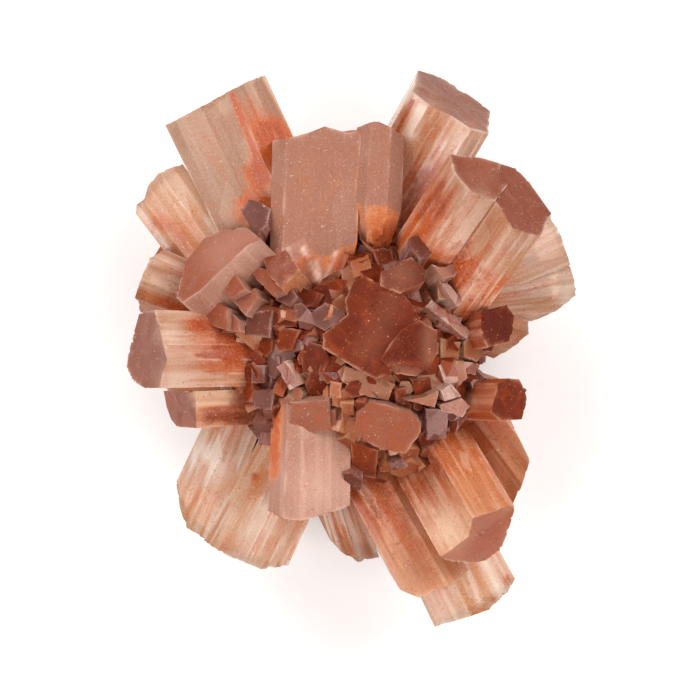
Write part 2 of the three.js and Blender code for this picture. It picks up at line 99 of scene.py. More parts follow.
class Kind(Enum):
    """The finishes of the crystals, by what the eye calls them."""

    MILKY_PINK = "milky_pink_aragonite"
    HONEY = "honey_aragonite"
    CLEAR = "clear_aragonite"
    RUST = "rust_stained_aragonite"
    DARK = "dark_brown_and_gap_shade_aragonite"
    LILAC = "lilac_grey_aragonite"
    GLASSY = "glassy_pale_aragonite"
    TAWNY = "tawny_clear_aragonite"


class Stain(Enum):
    """What a mark on a crystal shows."""

    RUSTY = "rusty"
    MILKY_AND_PAINTED_LIGHT = "milky"


PINK, HONEY, CLEAR, RUST, DARK, LILAC, GLASSY, TAWNY = Kind
RUSTY, MILKY_AND_PAINTED_LIGHT = Stain


@dataclass(frozen=True)
class Mark:
    """A soft patch or streak on a crystal, placed as seen from above.

    Attributes:
        x: Its middle, or where a streak starts.
        y: Its middle, or where a streak starts.
        size: How far it spreads to each side.
        stain: Whether it is rusty or pale: the pale marks are milky, and a few are painted highlights,
            painted glints and painted light.
        strength: How strong it is in the middle.
        to: Where a streak ends.
    """

    x: float
    y: float
    size: float
    stain: Stain = RUSTY
    strength: float = 0.8
    to: Corner | None = None

    def gap(self, places: np.ndarray) -> np.ndarray:
        """How far each place is from the mark's middle line, as a share of its size."""
        start = np.array([self.x, self.y])
        run = np.array(self.to or (self.x, self.y)) - start
        along = np.clip((places - start) @ run / max(float(run @ run), 1e-9), 0, 1)
        return np.linalg.norm(places - start - along[:, None] * run, axis=1) / self.size


@dataclass(frozen=True)
class Crystal:
    """One prism, set out in its own frame.

    Attributes:
        tip: The middle of the end face.
        axes: Rows u (level across), v (up its upper side) and w (out along the axis).
        section: The corners round the axis, as rows of u and v.
        length: From the tip back to the root.
        root: The width of the inner end as a share of the outer.
        kind: Its finish.
        ends: How far the end stands out at places across it, as rows of u and offset, u falling.
        undercut: How much the end draws back for each millimetre below its upper edge.
        tops: The upper edge, as rows of u and v, u falling, for the undercut.
        stripe: The height of the steps along the sides.
        chip: How deep the rim is chipped.
        broken: How far back from its tip its sides end in a fracture that falls away.
        root_tint_and_shade: How many times sooner than a large crystal it reddens towards its root, an iron
            tint that is also painted shade for the crevices where the roots meet.
        fibre: How fibrous it looks along its axis, from 0 to 1.
        banded: How strongly milky bands run back from its tip, from 0 to 1.
        rim: How strongly its chipped edges and the painted highlight along them show, from 0 to 1.
        marks: The stains on it.
    """

    tip: np.ndarray
    axes: np.ndarray
    section: np.ndarray
    length: float
    root: float
    kind: Kind
    ends: np.ndarray | None = None
    undercut: float = 0.0
    tops: np.ndarray | None = None
    stripe: float = 0.09
    chip: float = 0.3
    broken: float = UNBROKEN
    root_tint_and_shade: float = 1.0
    fibre: float = 0.3
    banded: float = 0.4
    rim: float = 1.0
    marks: tuple[Mark, ...] = ()

    def stained(self, points: np.ndarray, stain: Stain) -> np.ndarray:
        """How strong one kind of stain is at each point: the sum of its bell-shaped marks."""
        total = np.zeros(len(points))
        for mark in self.marks:
            if mark.stain is stain:
                total += mark.strength * np.exp(-(mark.gap(points[:, :2]) ** 2))
        return total


@dataclass
class Surface:
    """Vertices, faces and what each vertex knows of its place on its crystal, by its label."""

    points: np.ndarray
    quads: np.ndarray
    triangles: np.ndarray
    known: dict[str, np.ndarray]


def axes_of(heading: float, lean: float) -> np.ndarray:
    """The axes of a crystal that points along a heading, leaning up from level.

    Args:
        heading: Degrees from +X, seen from above.
        lean: Degrees above level.

    Returns:
        Rows u, v and w: w along the axis, u level and square to it, and v their cross product.
    """
    h = math.radians(heading)
    e = math.radians(lean)
    w = np.array([math.cos(e) * math.cos(h), math.cos(e) * math.sin(h), math.sin(e)])
    u = np.array([-math.sin(h), math.cos(h), 0.0])
    return np.array([u, np.cross(w, u), w])


def outwards(place: np.ndarray) -> tuple[float, float]:
    """The heading and lean, in degrees, of the way from the heart to a place."""
    way = place - HEART
    heading = math.degrees(math.atan2(way[1], way[0]))
    return heading, math.degrees(math.atan2(way[2], math.hypot(way[0], way[1])))


def hexagon(across: float, turn: float) -> np.ndarray:
    """Six corners round the axis, not quite even, because aragonite is only nearly six-sided."""
    angles = np.radians(turn + 60 * np.arange(6))
    return np.column_stack([np.cos(angles), np.sin(angles)]) * np.array(HEXAGON_RADII)[:, None] * across / 2


def golden_turn(number: int) -> float:
    """The angle of a point along a sunflower spiral: each is the golden angle on from the last."""
    return number * math.pi * (3 - math.sqrt(5))


def ripple(values: np.ndarray, size: float, rng: np.random.Generator, waves: int = 7) -> np.ndarray:
    """Smooth noise about 0, between -1 and 1: a sum of sines of random direction, length and phase.

    Args:
        values: Places, one row each.
        size: The usual width of a bump, in the units of the places.
        rng: The seeded source of the waves.
        waves: How many sines are summed.

    Returns:
        One value for each place.
    """
    ways = rng.normal(size=(waves, values.shape[1])) * (2.2 / size)
    phases = rng.uniform(0, 2 * math.pi, waves)
    return np.sin(values @ ways.T + phases).sum(1) / waves**0.5 / 1.6


def steps(along: np.ndarray, width: float, rng: np.random.Generator) -> np.ndarray:
    """A staircase of random heights from 0 to 1, each step of random width.

    Args:
        along: Where on the line each value is wanted.
        width: The mean width of a step.
        rng: The seeded source of the steps.

    Returns:
        The height of the step that each place falls on.
    """
    low, high = float(along.min()), float(along.max())
    count = max(2, int((high - low) / width))
    breaks = np.sort(rng.uniform(low, high, count))
    heights = rng.uniform(0, 1, count + 1) ** 1.5
    return heights[np.searchsorted(breaks, along)]


def outline_of(corners: np.ndarray, spacing: float) -> tuple[np.ndarray, np.ndarray, np.ndarray, np.ndarray]:
    """Points round a closed outline, with its corners kept.

    Args:
        corners: The corners, one row each, anticlockwise or not.
        spacing: The wanted gap between points.

    Returns:
        The points anticlockwise, the distance round to each, how near each is to a sharp corner from
        0 to 1, and the number of the side that each is on.
    """
    ahead = np.roll(corners, -1, axis=0)
    area = float(np.sum(corners[:, 0] * ahead[:, 1] - ahead[:, 0] * corners[:, 1]))
    if area < 0:
        corners = corners[::-1]
        ahead = np.roll(corners, -1, axis=0)
    sides = np.linalg.norm(ahead - corners, axis=1)
    counts = np.maximum(2, np.round(sides / spacing).astype(int))
    share = np.concatenate([np.arange(n) / n for n in counts])
    owner = np.repeat(np.arange(len(corners)), counts)
    points = corners[owner] + (ahead - corners)[owner] * share[:, None]
    starts = np.concatenate([[0.0], np.cumsum(sides)[:-1]])
    walked = starts[owner] + sides[owner] * share
    bearing = np.unwrap(np.arctan2((ahead - corners)[:, 1], (ahead - corners)[:, 0]))
    turns = np.abs((bearing - np.roll(bearing, 1) + math.pi) % (2 * math.pi) - math.pi)
    sharpness = np.clip((turns - 0.2) / 0.5, 0, 1)
    before = sharpness[owner] * np.exp(-share * sides[owner] / RIDGE_WIDTH)
    after = np.roll(sharpness, -1)[owner] * np.exp(-(1 - share) * sides[owner] / RIDGE_WIDTH)
    return points, walked, np.maximum(before, after), owner


def inward_of(points: np.ndarray) -> np.ndarray:
    """The unit direction into a closed anticlockwise outline at each of its points."""
    tangent = np.roll(points, -1, axis=0) - np.roll(points, 1, axis=0)
    tangent /= np.maximum(np.linalg.norm(tangent, axis=1, keepdims=True), 1e-9)
    return np.stack([-tangent[:, 1], tangent[:, 0]], axis=1)


def grid_faces(rings: int, around: int) -> np.ndarray:
    """The quads between rings of points, each ring closed on itself, facing outwards.

    Args:
        rings: How many rings there are, from the root out to the middle of the end.
        around: How many points a ring has.

    Returns:
        One row of four point numbers for each quad.
    """
    ring, spoke = np.meshgrid(np.arange(rings - 1), np.arange(around), indexing="ij")
    here = ring * around + spoke
    beside = ring * around + (spoke + 1) % around
    return np.stack([here, beside, beside + around, here + around], axis=-1).reshape(-1, 4)


def worn_end(crystal: Crystal, section: np.ndarray, rng: np.random.Generator) -> np.ndarray:
    """How far the end stands out at each point round it: its line, split into blades and undercut."""
    ends = np.zeros(len(section))
    if crystal.ends is not None:
        order = np.argsort(crystal.ends[:, 0])
        ends = np.interp(section[:, 0], crystal.ends[order, 0], crystal.ends[order, 1])
        ends = ends - steps(section[:, 0], BLADE_WIDTH, rng) * min(BLADE_STEP, 4 * crystal.stripe)
    if crystal.tops is not None:
        order = np.argsort(crystal.tops[:, 0])
        top = np.interp(section[:, 0], crystal.tops[order, 0], crystal.tops[order, 1])
        ends = ends + crystal.undercut * (section[:, 1] - top)
    return ends


def closed_faces(rings: int, around: int) -> tuple[np.ndarray, np.ndarray]:
    """The quads between rings, and triangles to the tip's and the root's middle points, which come last."""
    spokes = np.arange(around)
    ahead = (spokes + 1) % around
    last = (rings - 1) * around
    tip = rings * around
    return grid_faces(rings, around), np.concatenate([
        np.column_stack([last + spokes, last + ahead, np.full(around, tip)]),
        np.column_stack([ahead, spokes, np.full(around, tip + 1)]),
    ])


def crystal_surface(crystal: Crystal, rng: np.random.Generator, spacing: float) -> Surface:
    """The surface of one prism: its section carried along the axis, then drawn in over the end face.

    A point of the side is tip + s (u, v) + w axis, where s narrows from 1 at the tip to the root's
    share. It is moved inwards by a staircase round the outline, which makes the striae, and by a
    gentle ripple. The rim is drawn back by chips, and the end face is the rim shrunk towards the
    middle in rings, with low terraces.

    Args:
        crystal: The prism.
        rng: The seeded source of its steps and chips.
        spacing: The gap between points round the outline.

    Returns:
        The surface, in millimetres.
    """
    section, walked, ridge, side = outline_of(crystal.section, spacing)
    around = len(section)
    inward = inward_of(section)
    reach = float(np.abs(crystal.section).max())
    stripes = steps(walked, WIDE_STRIA, rng) + steps(walked, NARROW_STRIA, rng) * NARROW_SHARE
    stripes = stripes * crystal.stripe * (1 - ridge)
    turn = walked / walked.max() * 2 * math.pi
    circle = np.column_stack([np.cos(turn), np.sin(turn)]) * reach
    chips = np.clip(ripple(circle, CHIP_WIDTH, rng, 9) - CHIP_LEVEL, 0, 1) * crystal.chip
    ends = worn_end(crystal, section, rng)

    # The sides, ring by ring from the root out.
    near = np.array(NEAR_RINGS)
    far = np.arange(FIRST_FAR_RING, crystal.length, max(0.5, spacing * 2.0))
    backs = np.concatenate([near[near < crystal.length * 0.5], far, [crystal.length]])[::-1]
    rings = len(backs)
    back = np.repeat(backs, around)
    spoke = np.tile(np.arange(around), rings)
    flat = section[spoke] * (1 + (crystal.root - 1) * back / crystal.length)[:, None]
    wave = ripple(np.column_stack([circle[spoke], back * WAVE_STRETCH]), WAVE_WIDTH, rng)
    wave = wave * crystal.stripe * 0.5
    fade = np.clip(back / 0.4, 0, 1) * 0.7 + 0.3
    inset = stripes[spoke] * fade + np.clip(wave, 0, None)
    inset = inset + chips[spoke] * np.exp(-back / CHIP_REACH) * 0.8
    border = back + ripple(flat, FRACTURE_WIDTH, rng) * FRACTURE_RAGGED - crystal.broken
    lost = np.clip(border / FRACTURE_SLOPE, 0, 1)
    shells = np.abs(ripple(np.column_stack([flat, back]), SHELL_WIDTH, rng)) * SHELL_DEPTH
    inset = inset + lost * (FRACTURE_DEPTH * lost + shells)
    flat = flat + inward[spoke] * inset[:, None]
    out = ends[spoke] * np.clip(1 - back / crystal.length, 0, 1) - back - chips[spoke] * np.exp(-back / 0.25)

    # The end face, from its rim in.
    shrink = np.array(END_RINGS)
    inner = len(shrink) * around
    rim, rim_out = flat[-around:], out[-around:]
    middle = rim.mean(0)
    cap = np.concatenate([middle + (rim - middle) * s for s in shrink])
    lift = np.concatenate([
        rim_out * s + ends.mean() * (1 - s) + chips * np.clip((1 - s) * 14, 0, 1) * s for s in shrink
    ])
    terraces = np.round(ripple(cap, TERRACE_WIDTH, rng) * TERRACE_LEVELS) * TERRACE_RISE
    terraces = terraces * min(1.0, reach / 2)
    lift = lift + terraces * np.repeat(np.clip((1 - shrink) * 8, 0, 1), around)
    local = np.concatenate([
        np.column_stack([flat, out]),
        np.column_stack([cap, lift]),
        [[*middle, ends.mean()], [0.0, 0.0, -crystal.length]],
    ])
    points = crystal.tip + local @ crystal.axes
    points[:, 2] = np.maximum(points[:, 2], 0)
    quads, triangles = closed_faces(rings + len(shrink), around)

    # What the material is told.
    on_side = rings * around
    tones = rng.uniform(0, 1, side.max() + 1)[side] * 0.6 + steps(walked, TONE_WIDTH, rng) * 0.4
    end_tone = rng.uniform(0, 1)
    bands = steps(walked, BAND_WIDTH, rng) ** 3 * 1.3
    bands = bands[spoke] * np.exp(-((back / BAND_LENGTH) ** 2)) * crystal.banded
    # The pale line along edges and rims: chips, and a painted highlight along them.
    rim_highlight_and_chips = np.concatenate([
        np.exp(-back / RIM_WIDTH), np.repeat(np.exp(-(1 - shrink) * reach / END_RIM_WIDTH), around), [0, 0],
    ])
    edge = np.maximum(np.concatenate([ridge[spoke], np.zeros(inner + 2)]) * 0.8, rim_highlight_and_chips)
    edge *= np.clip(ripple(local, 1.6, rng) * 1.6 + 0.35, 0, 1) * crystal.rim
    grain = local + rng.uniform(-GRAIN_SHIFT, GRAIN_SHIFT, 3)
    grain[:on_side, :2] += section[spoke] - flat
    # The milky marks: milky patches, and on a few marks painted glints and painted light.
    milky = crystal.stained(points, MILKY_AND_PAINTED_LIGHT)
    milky[:on_side] += bands * (crystal.kind is not PINK)
    rusty = crystal.stained(points, RUSTY)
    rusty[:on_side] += np.clip(lost * 8, 0, 1) * 0.8
    walk = np.concatenate([walked[spoke], np.tile(walked, len(shrink)), [0, 0]])
    return Surface(points, quads, triangles, {
        "grain": grain,
        "end": np.concatenate([np.zeros(on_side - around), np.full(around, 0.5), np.ones(inner), [1, 0]]),
        "depth": np.concatenate([back, np.zeros(inner), [0, crystal.length]]) * crystal.root_tint_and_shade,
        "edge": edge,
        "tone": np.concatenate([tones[spoke], np.full(inner + 2, end_tone)]),
        "fibre": np.full(len(points), crystal.fibre),
        "rusty": rusty,
        "milky": milky,
        "round": walk + rng.uniform(0, ROUND_SHIFT),
    })


def merged(surfaces: list[Surface]) -> Surface:
    """Several surfaces as one, their face numbers shifted to match."""
    starts = np.cumsum([0] + [len(s.points) for s in surfaces[:-1]])
    return Surface(
        np.concatenate([s.points for s in surfaces]),
        np.concatenate([s.quads + start for s, start in zip(surfaces, starts)]),
        np.concatenate([s.triangles + start for s, start in zip(surfaces, starts)]),
        {label: np.concatenate([s.known[label] for s in surfaces]) for label in surfaces[0].known},
    )


def to_object(name: str, surface: Surface, kinds: list[Kind], owners: np.ndarray) -> bpy.types.Object:
    """A mesh object from a surface, smooth but for its edges.

    Args:
        name: The piece's name.
        surface: The surface, in millimetres.
        kinds: The finishes on it, in the order of its material slots.
        owners: For each vertex, the number of its finish in `kinds`.

    Returns:
        The object, linked to the scene.
    """
    mesh = bpy.data.meshes.new(name)
    quads, triangles = surface.quads, surface.triangles
    mesh.vertices.add(len(surface.points))
    mesh.vertices.foreach_set("co", (surface.points * MM).astype(np.float32).ravel())
    loops = np.concatenate([quads.ravel(), triangles.ravel()]).astype(np.int32)
    totals = np.concatenate([np.full(len(quads), 4), np.full(len(triangles), 3)])
    starts = np.concatenate([[0], np.cumsum(totals)[:-1]]).astype(np.int32)
    mesh.loops.add(len(loops))
    mesh.loops.foreach_set("vertex_index", loops)
    mesh.polygons.add(len(totals))
    mesh.polygons.foreach_set("loop_start", starts)
    mesh.polygons.foreach_set("material_index", owners[loops[starts]].astype(np.int32))
    mesh.update(calc_edges=True)
    for label, values in surface.known.items():
        sort, key = ("FLOAT_VECTOR", "vector") if values.ndim == 2 else ("FLOAT", "value")
        mesh.attributes.new(label, sort, "POINT").data.foreach_set(key, values.astype(np.float32).ravel())
    mesh.polygons.foreach_set("use_smooth", np.ones(len(totals), bool))
    mesh.set_sharp_from_angle(angle=math.radians(SHARP_ANGLE))
    mesh.validate()
    for kind in kinds:
        mesh.materials.append(FINISHES[kind].material())
    piece = bpy.data.objects.new(name, mesh)
    bpy.context.scene.collection.objects.link(piece)
    return piece


def linear(colour: str) -> tuple[float, float, float, float]:
    """An sRGB hex colour as linear light, with full alpha."""
    shares = [int(colour[i : i + 2], 16) / 255 for i in (1, 3, 5)]
    return (*[s / 12.92 if s <= 0.04045 else ((s + 0.055) / 1.055) ** 2.4 for s in shares], 1.0)


def add(
    tree: bpy.types.NodeTree, kind: str, settings: dict[str, str] | None = None, *values: object,
    output: int | str = 0, **links: object,
) -> bpy.types.NodeSocket:
    """Adds a node to a tree.

    Args:
        tree: The tree.
        kind: The node's type name.
        settings: Attributes of the node to set.
        values: Numbers or output sockets for its first inputs, in their order.
        output: Which of its outputs is wanted.
        links: Values or output sockets for inputs by name, with _ for a space, or i6, i7 by number.

    Returns:
        The output.
    """
    node = tree.nodes.new(kind)
    for name, value in (settings or {}).items():
        setattr(node, name, value)
    inputs = {f"i{number}": value for number, value in enumerate(values)} | links
    for name, value in inputs.items():
        numbered = name[0] == "i" and name[1:].isdigit()
        socket = node.inputs[int(name[1:]) if numbered else name.replace("_", " ")]
        if isinstance(value, bpy.types.NodeSocket):
            tree.links.new(value, socket)
        else:
            socket.default_value = value
    return node.outputs[output]


# What add() is often asked for: a node's type and settings.
SUM = ("ShaderNodeMath", {"operation": "ADD"})
PRODUCT = ("ShaderNodeMath", {"operation": "MULTIPLY"})
RAMP = ("ShaderNodeMapRange", {"interpolation_type": "SMOOTHSTEP"})
BLEND = ("ShaderNodeMix", {"data_type": "RGBA"})


def layered(
    tree: bpy.types.NodeTree, base: object, layers: tuple[tuple[object, object], ...],
) -> bpy.types.NodeSocket:
    """Colours laid over one another.

    Args:
        tree: The tree.
        base: The lowest colour, as sRGB hex or a socket.
        layers: Pairs of a share from 0 to 1 and a colour, from the lowest up.

    Returns:
        The colour on top.
    """
    lower = linear(base) if isinstance(base, str) else base
    for share, colour in layers:
        upper = linear(colour) if isinstance(colour, str) else colour
        lower = add(tree, *BLEND, share, output=2, i6=lower, i7=upper)
    return lower


@dataclass(frozen=True)
class Aragonite:
    """Twinned calcium carbonate, grown as prisms: glassy inside, faintly frosted outside.

    The frosting scatters light back at the surface, so the sides look milky, and what enters is
    tinted on its way, which leaves the tips pale and the middle red-brown.

    Attributes:
        kind: Which finish it is; its value is the material's name.
        side: Colour of the sides, sRGB.
        warm: Colour of the sides towards the root and in clouds, where iron tints the crystal; it is also
            the painted shade towards the root and in dim fracture patches.
        pale: Colour of milky streaks along the axis, of chipped edges and of internal cracks, and of the
            painted highlights, glints and reflections.
        end: Colour of the end faces, darker because one looks down the length of the crystal: painted shade
            for the light that the crystal swallows on the way.
        rust: Colour of the iron stain in patches and veins.
        warmth: How much of the side is warm, from 0 to 1.
        clear: The share of light that goes in and through.
        sugary: How strongly a fine pale grain shows, from 0 to 1.
        tint: Colour of light after it has gone through the crystal.
        density: How fast the tint builds up, per metre.
        roughness: The frosting of the sides.
        edge_highlight_and_chips: How strongly chipped edges and the painted highlight along them show, from
            0 to 1.
        gloss: How strongly the surface mirrors, where 0.5 is plain for its index of refraction.
        facets: How much the sides differ in warmth from one facet to the next.
        fracture_glints_and_shade: How strongly inner fractures show as angular patches of painted reflection
            and painted shade, from 0 to 1.
        striated: How strongly bands along the axis differ in tone, from 0 to 1.
        blotched: How strongly the end faces are blotched, from 0 to 1.
        broken: How strongly angular patches of painted reflection and painted shade show on the end faces,
            from 0 to 1.
    """

    kind: Kind
    side: str
    warm: str
    pale: str
    end: str
    rust: str = "#8E3410"
    warmth: float = 0.4
    clear: float = 0.5
    sugary: float = 0.15
    tint: str = "#E7A583"
    density: float = 60.0
    roughness: float = 0.24
    edge_highlight_and_chips: float = 0.6
    gloss: float = 0.15
    facets: float = 0.45
    fracture_glints_and_shade: float = 0.3
    striated: float = 0.6
    blotched: float = 0.3
    broken: float = 0.0

    def material(self) -> bpy.types.Material:
        """The material, made once and then found by its name."""
        return bpy.data.materials.get(self.kind.value) or self.made()

    def made(self) -> bpy.types.Material:
        """Builds the node tree.

        Returns:
            The new material: milky fibres stretched along the crystal's axis, warm clouds that
            thicken towards the root, an iron tint that is also painted shade for the crevices, rust in
            veins, end faces darkened by painted shade, pale chipped edges with a painted highlight, fine
            pale specks that are painted glints and dark ones that are pits, and fracture patches with
            painted reflections and painted shade, over frosted glass with plain absorption that is
            clearest at the tip.
        """
        made = bpy.data.materials.new(self.kind.value)
        made.use_nodes = True
        tree = made.node_tree
        tree.nodes.clear()
        put = partial(add, tree)
        grain = put("ShaderNodeAttribute", {"attribute_name": "grain"}, output="Vector")
        end, depth, facet, rusty, fibre, milky, place, edge = (
            put("ShaderNodeAttribute", {"attribute_name": label}, output="Fac") for label in LABELS
        )
        tone = put(*SUM, facet, -0.5)

        # Milky fibres 0.3 to 2 mm wide and some fifteen times as long.
        stretched = put("ShaderNodeMapping", None, grain, Scale=(1.0, 1.0, 0.065))
        streaks = put("ShaderNodeTexNoise", Vector=stretched, Scale=1.1, Detail=5.0, Roughness=0.62)
        milk = put(*PRODUCT, put(*RAMP, streaks, 0.45, 0.7, 0.0, 0.45), fibre)
        # The milky marks, a few of them painted glints and painted light.
        milk = put(*SUM, milk, put(*PRODUCT, milky, 0.8))
        thread = put(*PRODUCT, put(*RAMP, streaks, 0.42, 0.3, 0.0, 0.35), fibre)

        # Striae: bands with crisp borders along the axis, some 1 mm and some 0.3 mm wide.
        wide = put(*PRODUCT, self.striae(tree, place, 0.9, depth), 0.55)
        narrow = put(*PRODUCT, self.striae(tree, place, 3.2, depth), 0.5)
        banding = put(*SUM, wide, narrow)
        strength = put(*SUM, put(*PRODUCT, fibre, 0.9), 0.2)
        bright_band, dark_band = (
            put(*PRODUCT, put(*RAMP, banding, sign * 0.06, sign * 0.3, 0.0, self.striated), strength)
            for sign in (1, -1)
        )

        # Inner fractures: angular patches 1 to 3 mm across, a few of them lit up by a painted reflection and
        # a few in painted shade.
        turned = put("ShaderNodeMapping", None, grain, Rotation=(0.5, 0.3, 0.2), Scale=(1.0, 1.0, 0.4))
        cells = put("ShaderNodeTexVoronoi", Vector=turned, Scale=0.5, output="Color")
        cell = put("ShaderNodeSeparateColor", None, cells)
        deeper = put(*RAMP, depth, -3.0, 9.0, 0.0, self.fracture_glints_and_shade)
        lit = put(*PRODUCT, put(*RAMP, cell, 0.6, 1.0, 0.0, 1.0), deeper)
        dim = put(*PRODUCT, put(*RAMP, cell, 0.4, 0.0, 0.0, 1.0), deeper)

        # Warm clouds some 5 mm across, more of them towards the root and on some facets; towards the root
        # the iron tint is also painted shade for the crevices.
        clouds = put(
            "ShaderNodeTexNoise", Vector=grain, Scale=0.18, Detail=6.0, Roughness=0.55, Distortion=0.4,
        )
        rootward_tint_and_shade = put("ShaderNodeMapRange", None, depth, 0.5, 11.0, -0.06, self.warmth)
        heap = put(*SUM, clouds, rootward_tint_and_shade)
        heap = put(*SUM, heap, put(*PRODUCT, tone, self.facets))
        heap = put(*SUM, heap, put(*PRODUCT, rusty, 0.4))
        low = 0.62 - 0.34 * self.warmth
        warm = put(*RAMP, heap, low, low + 0.4, 0.0, 1.0)
        veins = put("ShaderNodeTexNoise", Vector=grain, Scale=0.6, Detail=7.0, Roughness=0.7, Distortion=1.2)
        vein = put(*RAMP, put(*SUM, veins, put(*PRODUCT, heap, 0.5)), 0.9, 1.15, 0.0, 0.7)

        # Specks some 0.2 mm across: the pale ones, in swarms, are painted glints, and the dark ones are
        # pits.
        specks = put("ShaderNodeTexNoise", Vector=grain, Scale=4.2, Detail=2.0, Roughness=0.5)
        swarm = put(*SUM, specks, put(*PRODUCT, veins, 0.2))
        glint_speck = put(*RAMP, swarm, 0.785, 0.84, 0.0, 0.55)
        pit = put(*RAMP, specks, 0.33, 0.27, 0.0, 0.8)

        # Sugary grain some 0.15 mm across, paler and darker than the rest, and less pale on the ends.
        sugar = put("ShaderNodeTexNoise", Vector=grain, Scale=6.5, Detail=2.0, Roughness=0.8)
        aside = put(*RAMP, end, 1.6, 0.0, 0.0, 1.0)
        frosted = put(*PRODUCT, put(*RAMP, sugar, 0.45, 0.75, 0.0, self.sugary), aside)
        shaded = put(*RAMP, sugar, 0.52, 0.26, 0.0, self.sugary)

        side = layered(tree, self.side, (
            (warm, self.warm),
            (thread, self.warm),
            (milk, self.pale),
            (put(*RAMP, tone, 0.08, 0.4, 0.0, self.facets * 0.6), self.pale),
            (lit, self.pale),
            (dim, self.warm),
            (bright_band, self.pale),
            (dark_band, self.warm),
            (vein, self.rust),
            (put(*RAMP, rusty, 0.7, 1.8, 0.0, 0.65), self.rust),
        ))
        ending = layered(tree, self.end, (
            (put(*RAMP, put(*SUM, clouds, put(*PRODUCT, tone, 0.5)), 0.3, 0.8, 0.0, 0.4), self.side),
            (put(*RAMP, veins, 0.5, 0.72, 0.0, self.blotched), self.side),
            (put(*RAMP, veins, 0.5, 0.3, 0.0, self.blotched), self.rust),
            # Angular patches on the end: painted reflections and painted shade of inner fractures.
            (put(*RAMP, cell, 0.55, 1.0, 0.0, self.broken * 0.5), self.pale),
            (put(*RAMP, cell, 0.45, 0.0, 0.0, self.broken * 0.8), self.rust),
            (put(*PRODUCT, rusty, 0.8), self.rust),
            # Milky marks on the end, a few of them painted glints.
            (put(*PRODUCT, milky, 0.5), self.pale),
        ))
        colour = layered(tree, side, (
            (end, ending),
            (frosted, self.pale),
            (shaded, self.warm),
            # Pale chipped edges with a painted highlight, then pale specks as painted glints.
            (put(*PRODUCT, edge, self.edge_highlight_and_chips), self.pale),
            (glint_speck, self.pale),
            (pit, self.rust),
        ))

        smoothest, roughest = self.roughness - 0.1, self.roughness + 0.1
        patchy = put("ShaderNodeMapRange", None, clouds, 0.35, 0.65, smoothest, roughest)
        rough = put(*SUM, patchy, put(*PRODUCT, end, 0.15))
        relief = put(*SUM, put(*PRODUCT, sugar, 0.4), specks)
        frost = put("ShaderNodeBump", Strength=0.25, Distance=0.00006, Height=relief)
        inner = put("ShaderNodeMapRange", None, depth, 2.0, 12.0, 1.0, 0.3)
        half_on_ends = put(*RAMP, end, 2.0, 0.0, 0.0, 1.0)
        through = put(*PRODUCT, put(*PRODUCT, inner, self.clear), half_on_ends)
        shader = put(
            "ShaderNodeBsdfPrincipled", Base_Color=colour, Roughness=rough, IOR=1.6,
            Transmission_Weight=through, Normal=frost, Specular_IOR_Level=self.gloss,
        )
        inside = put("ShaderNodeVolumeAbsorption", Color=linear(self.tint), Density=self.density)
        out = tree.nodes.new("ShaderNodeOutputMaterial")
        tree.links.new(shader, out.inputs["Surface"])
        tree.links.new(inside, out.inputs["Volume"])
        return made

    @staticmethod
    def striae(tree: bpy.types.NodeTree, place: object, count: float, depth: object) -> bpy.types.NodeSocket:
        """Bands along the axis that fade in and out.

        Args:
            tree: The tree.
            place: How far round the prism a point is, in millimetres.
            count: How many bands there are to a millimetre.
            depth: How far back from the tip a point is, in millimetres.

        Returns:
            A value from -0.5 to 0.5, the same all over a band but for the fading.
        """
        line = {"voronoi_dimensions": "1D"}
        bands = add(tree, "ShaderNodeTexVoronoi", line, W=place, Scale=count, output="Color")
        height = add(tree, "ShaderNodeSeparateColor", None, bands)
        other = add(tree, "ShaderNodeSeparateColor", None, bands, output=1)
        along = add(tree, *SUM, add(tree, *PRODUCT, depth, 0.16), add(tree, *PRODUCT, other, 40.0))
        fade = add(tree, "ShaderNodeTexNoise", {"noise_dimensions": "1D"}, W=along, Scale=1.0, Detail=1.0)
        shown = add(tree, *RAMP, fade, 0.36, 0.6, 0.0, 1.0)
        return add(tree, *PRODUCT, add(tree, *SUM, height, -0.5), shown)


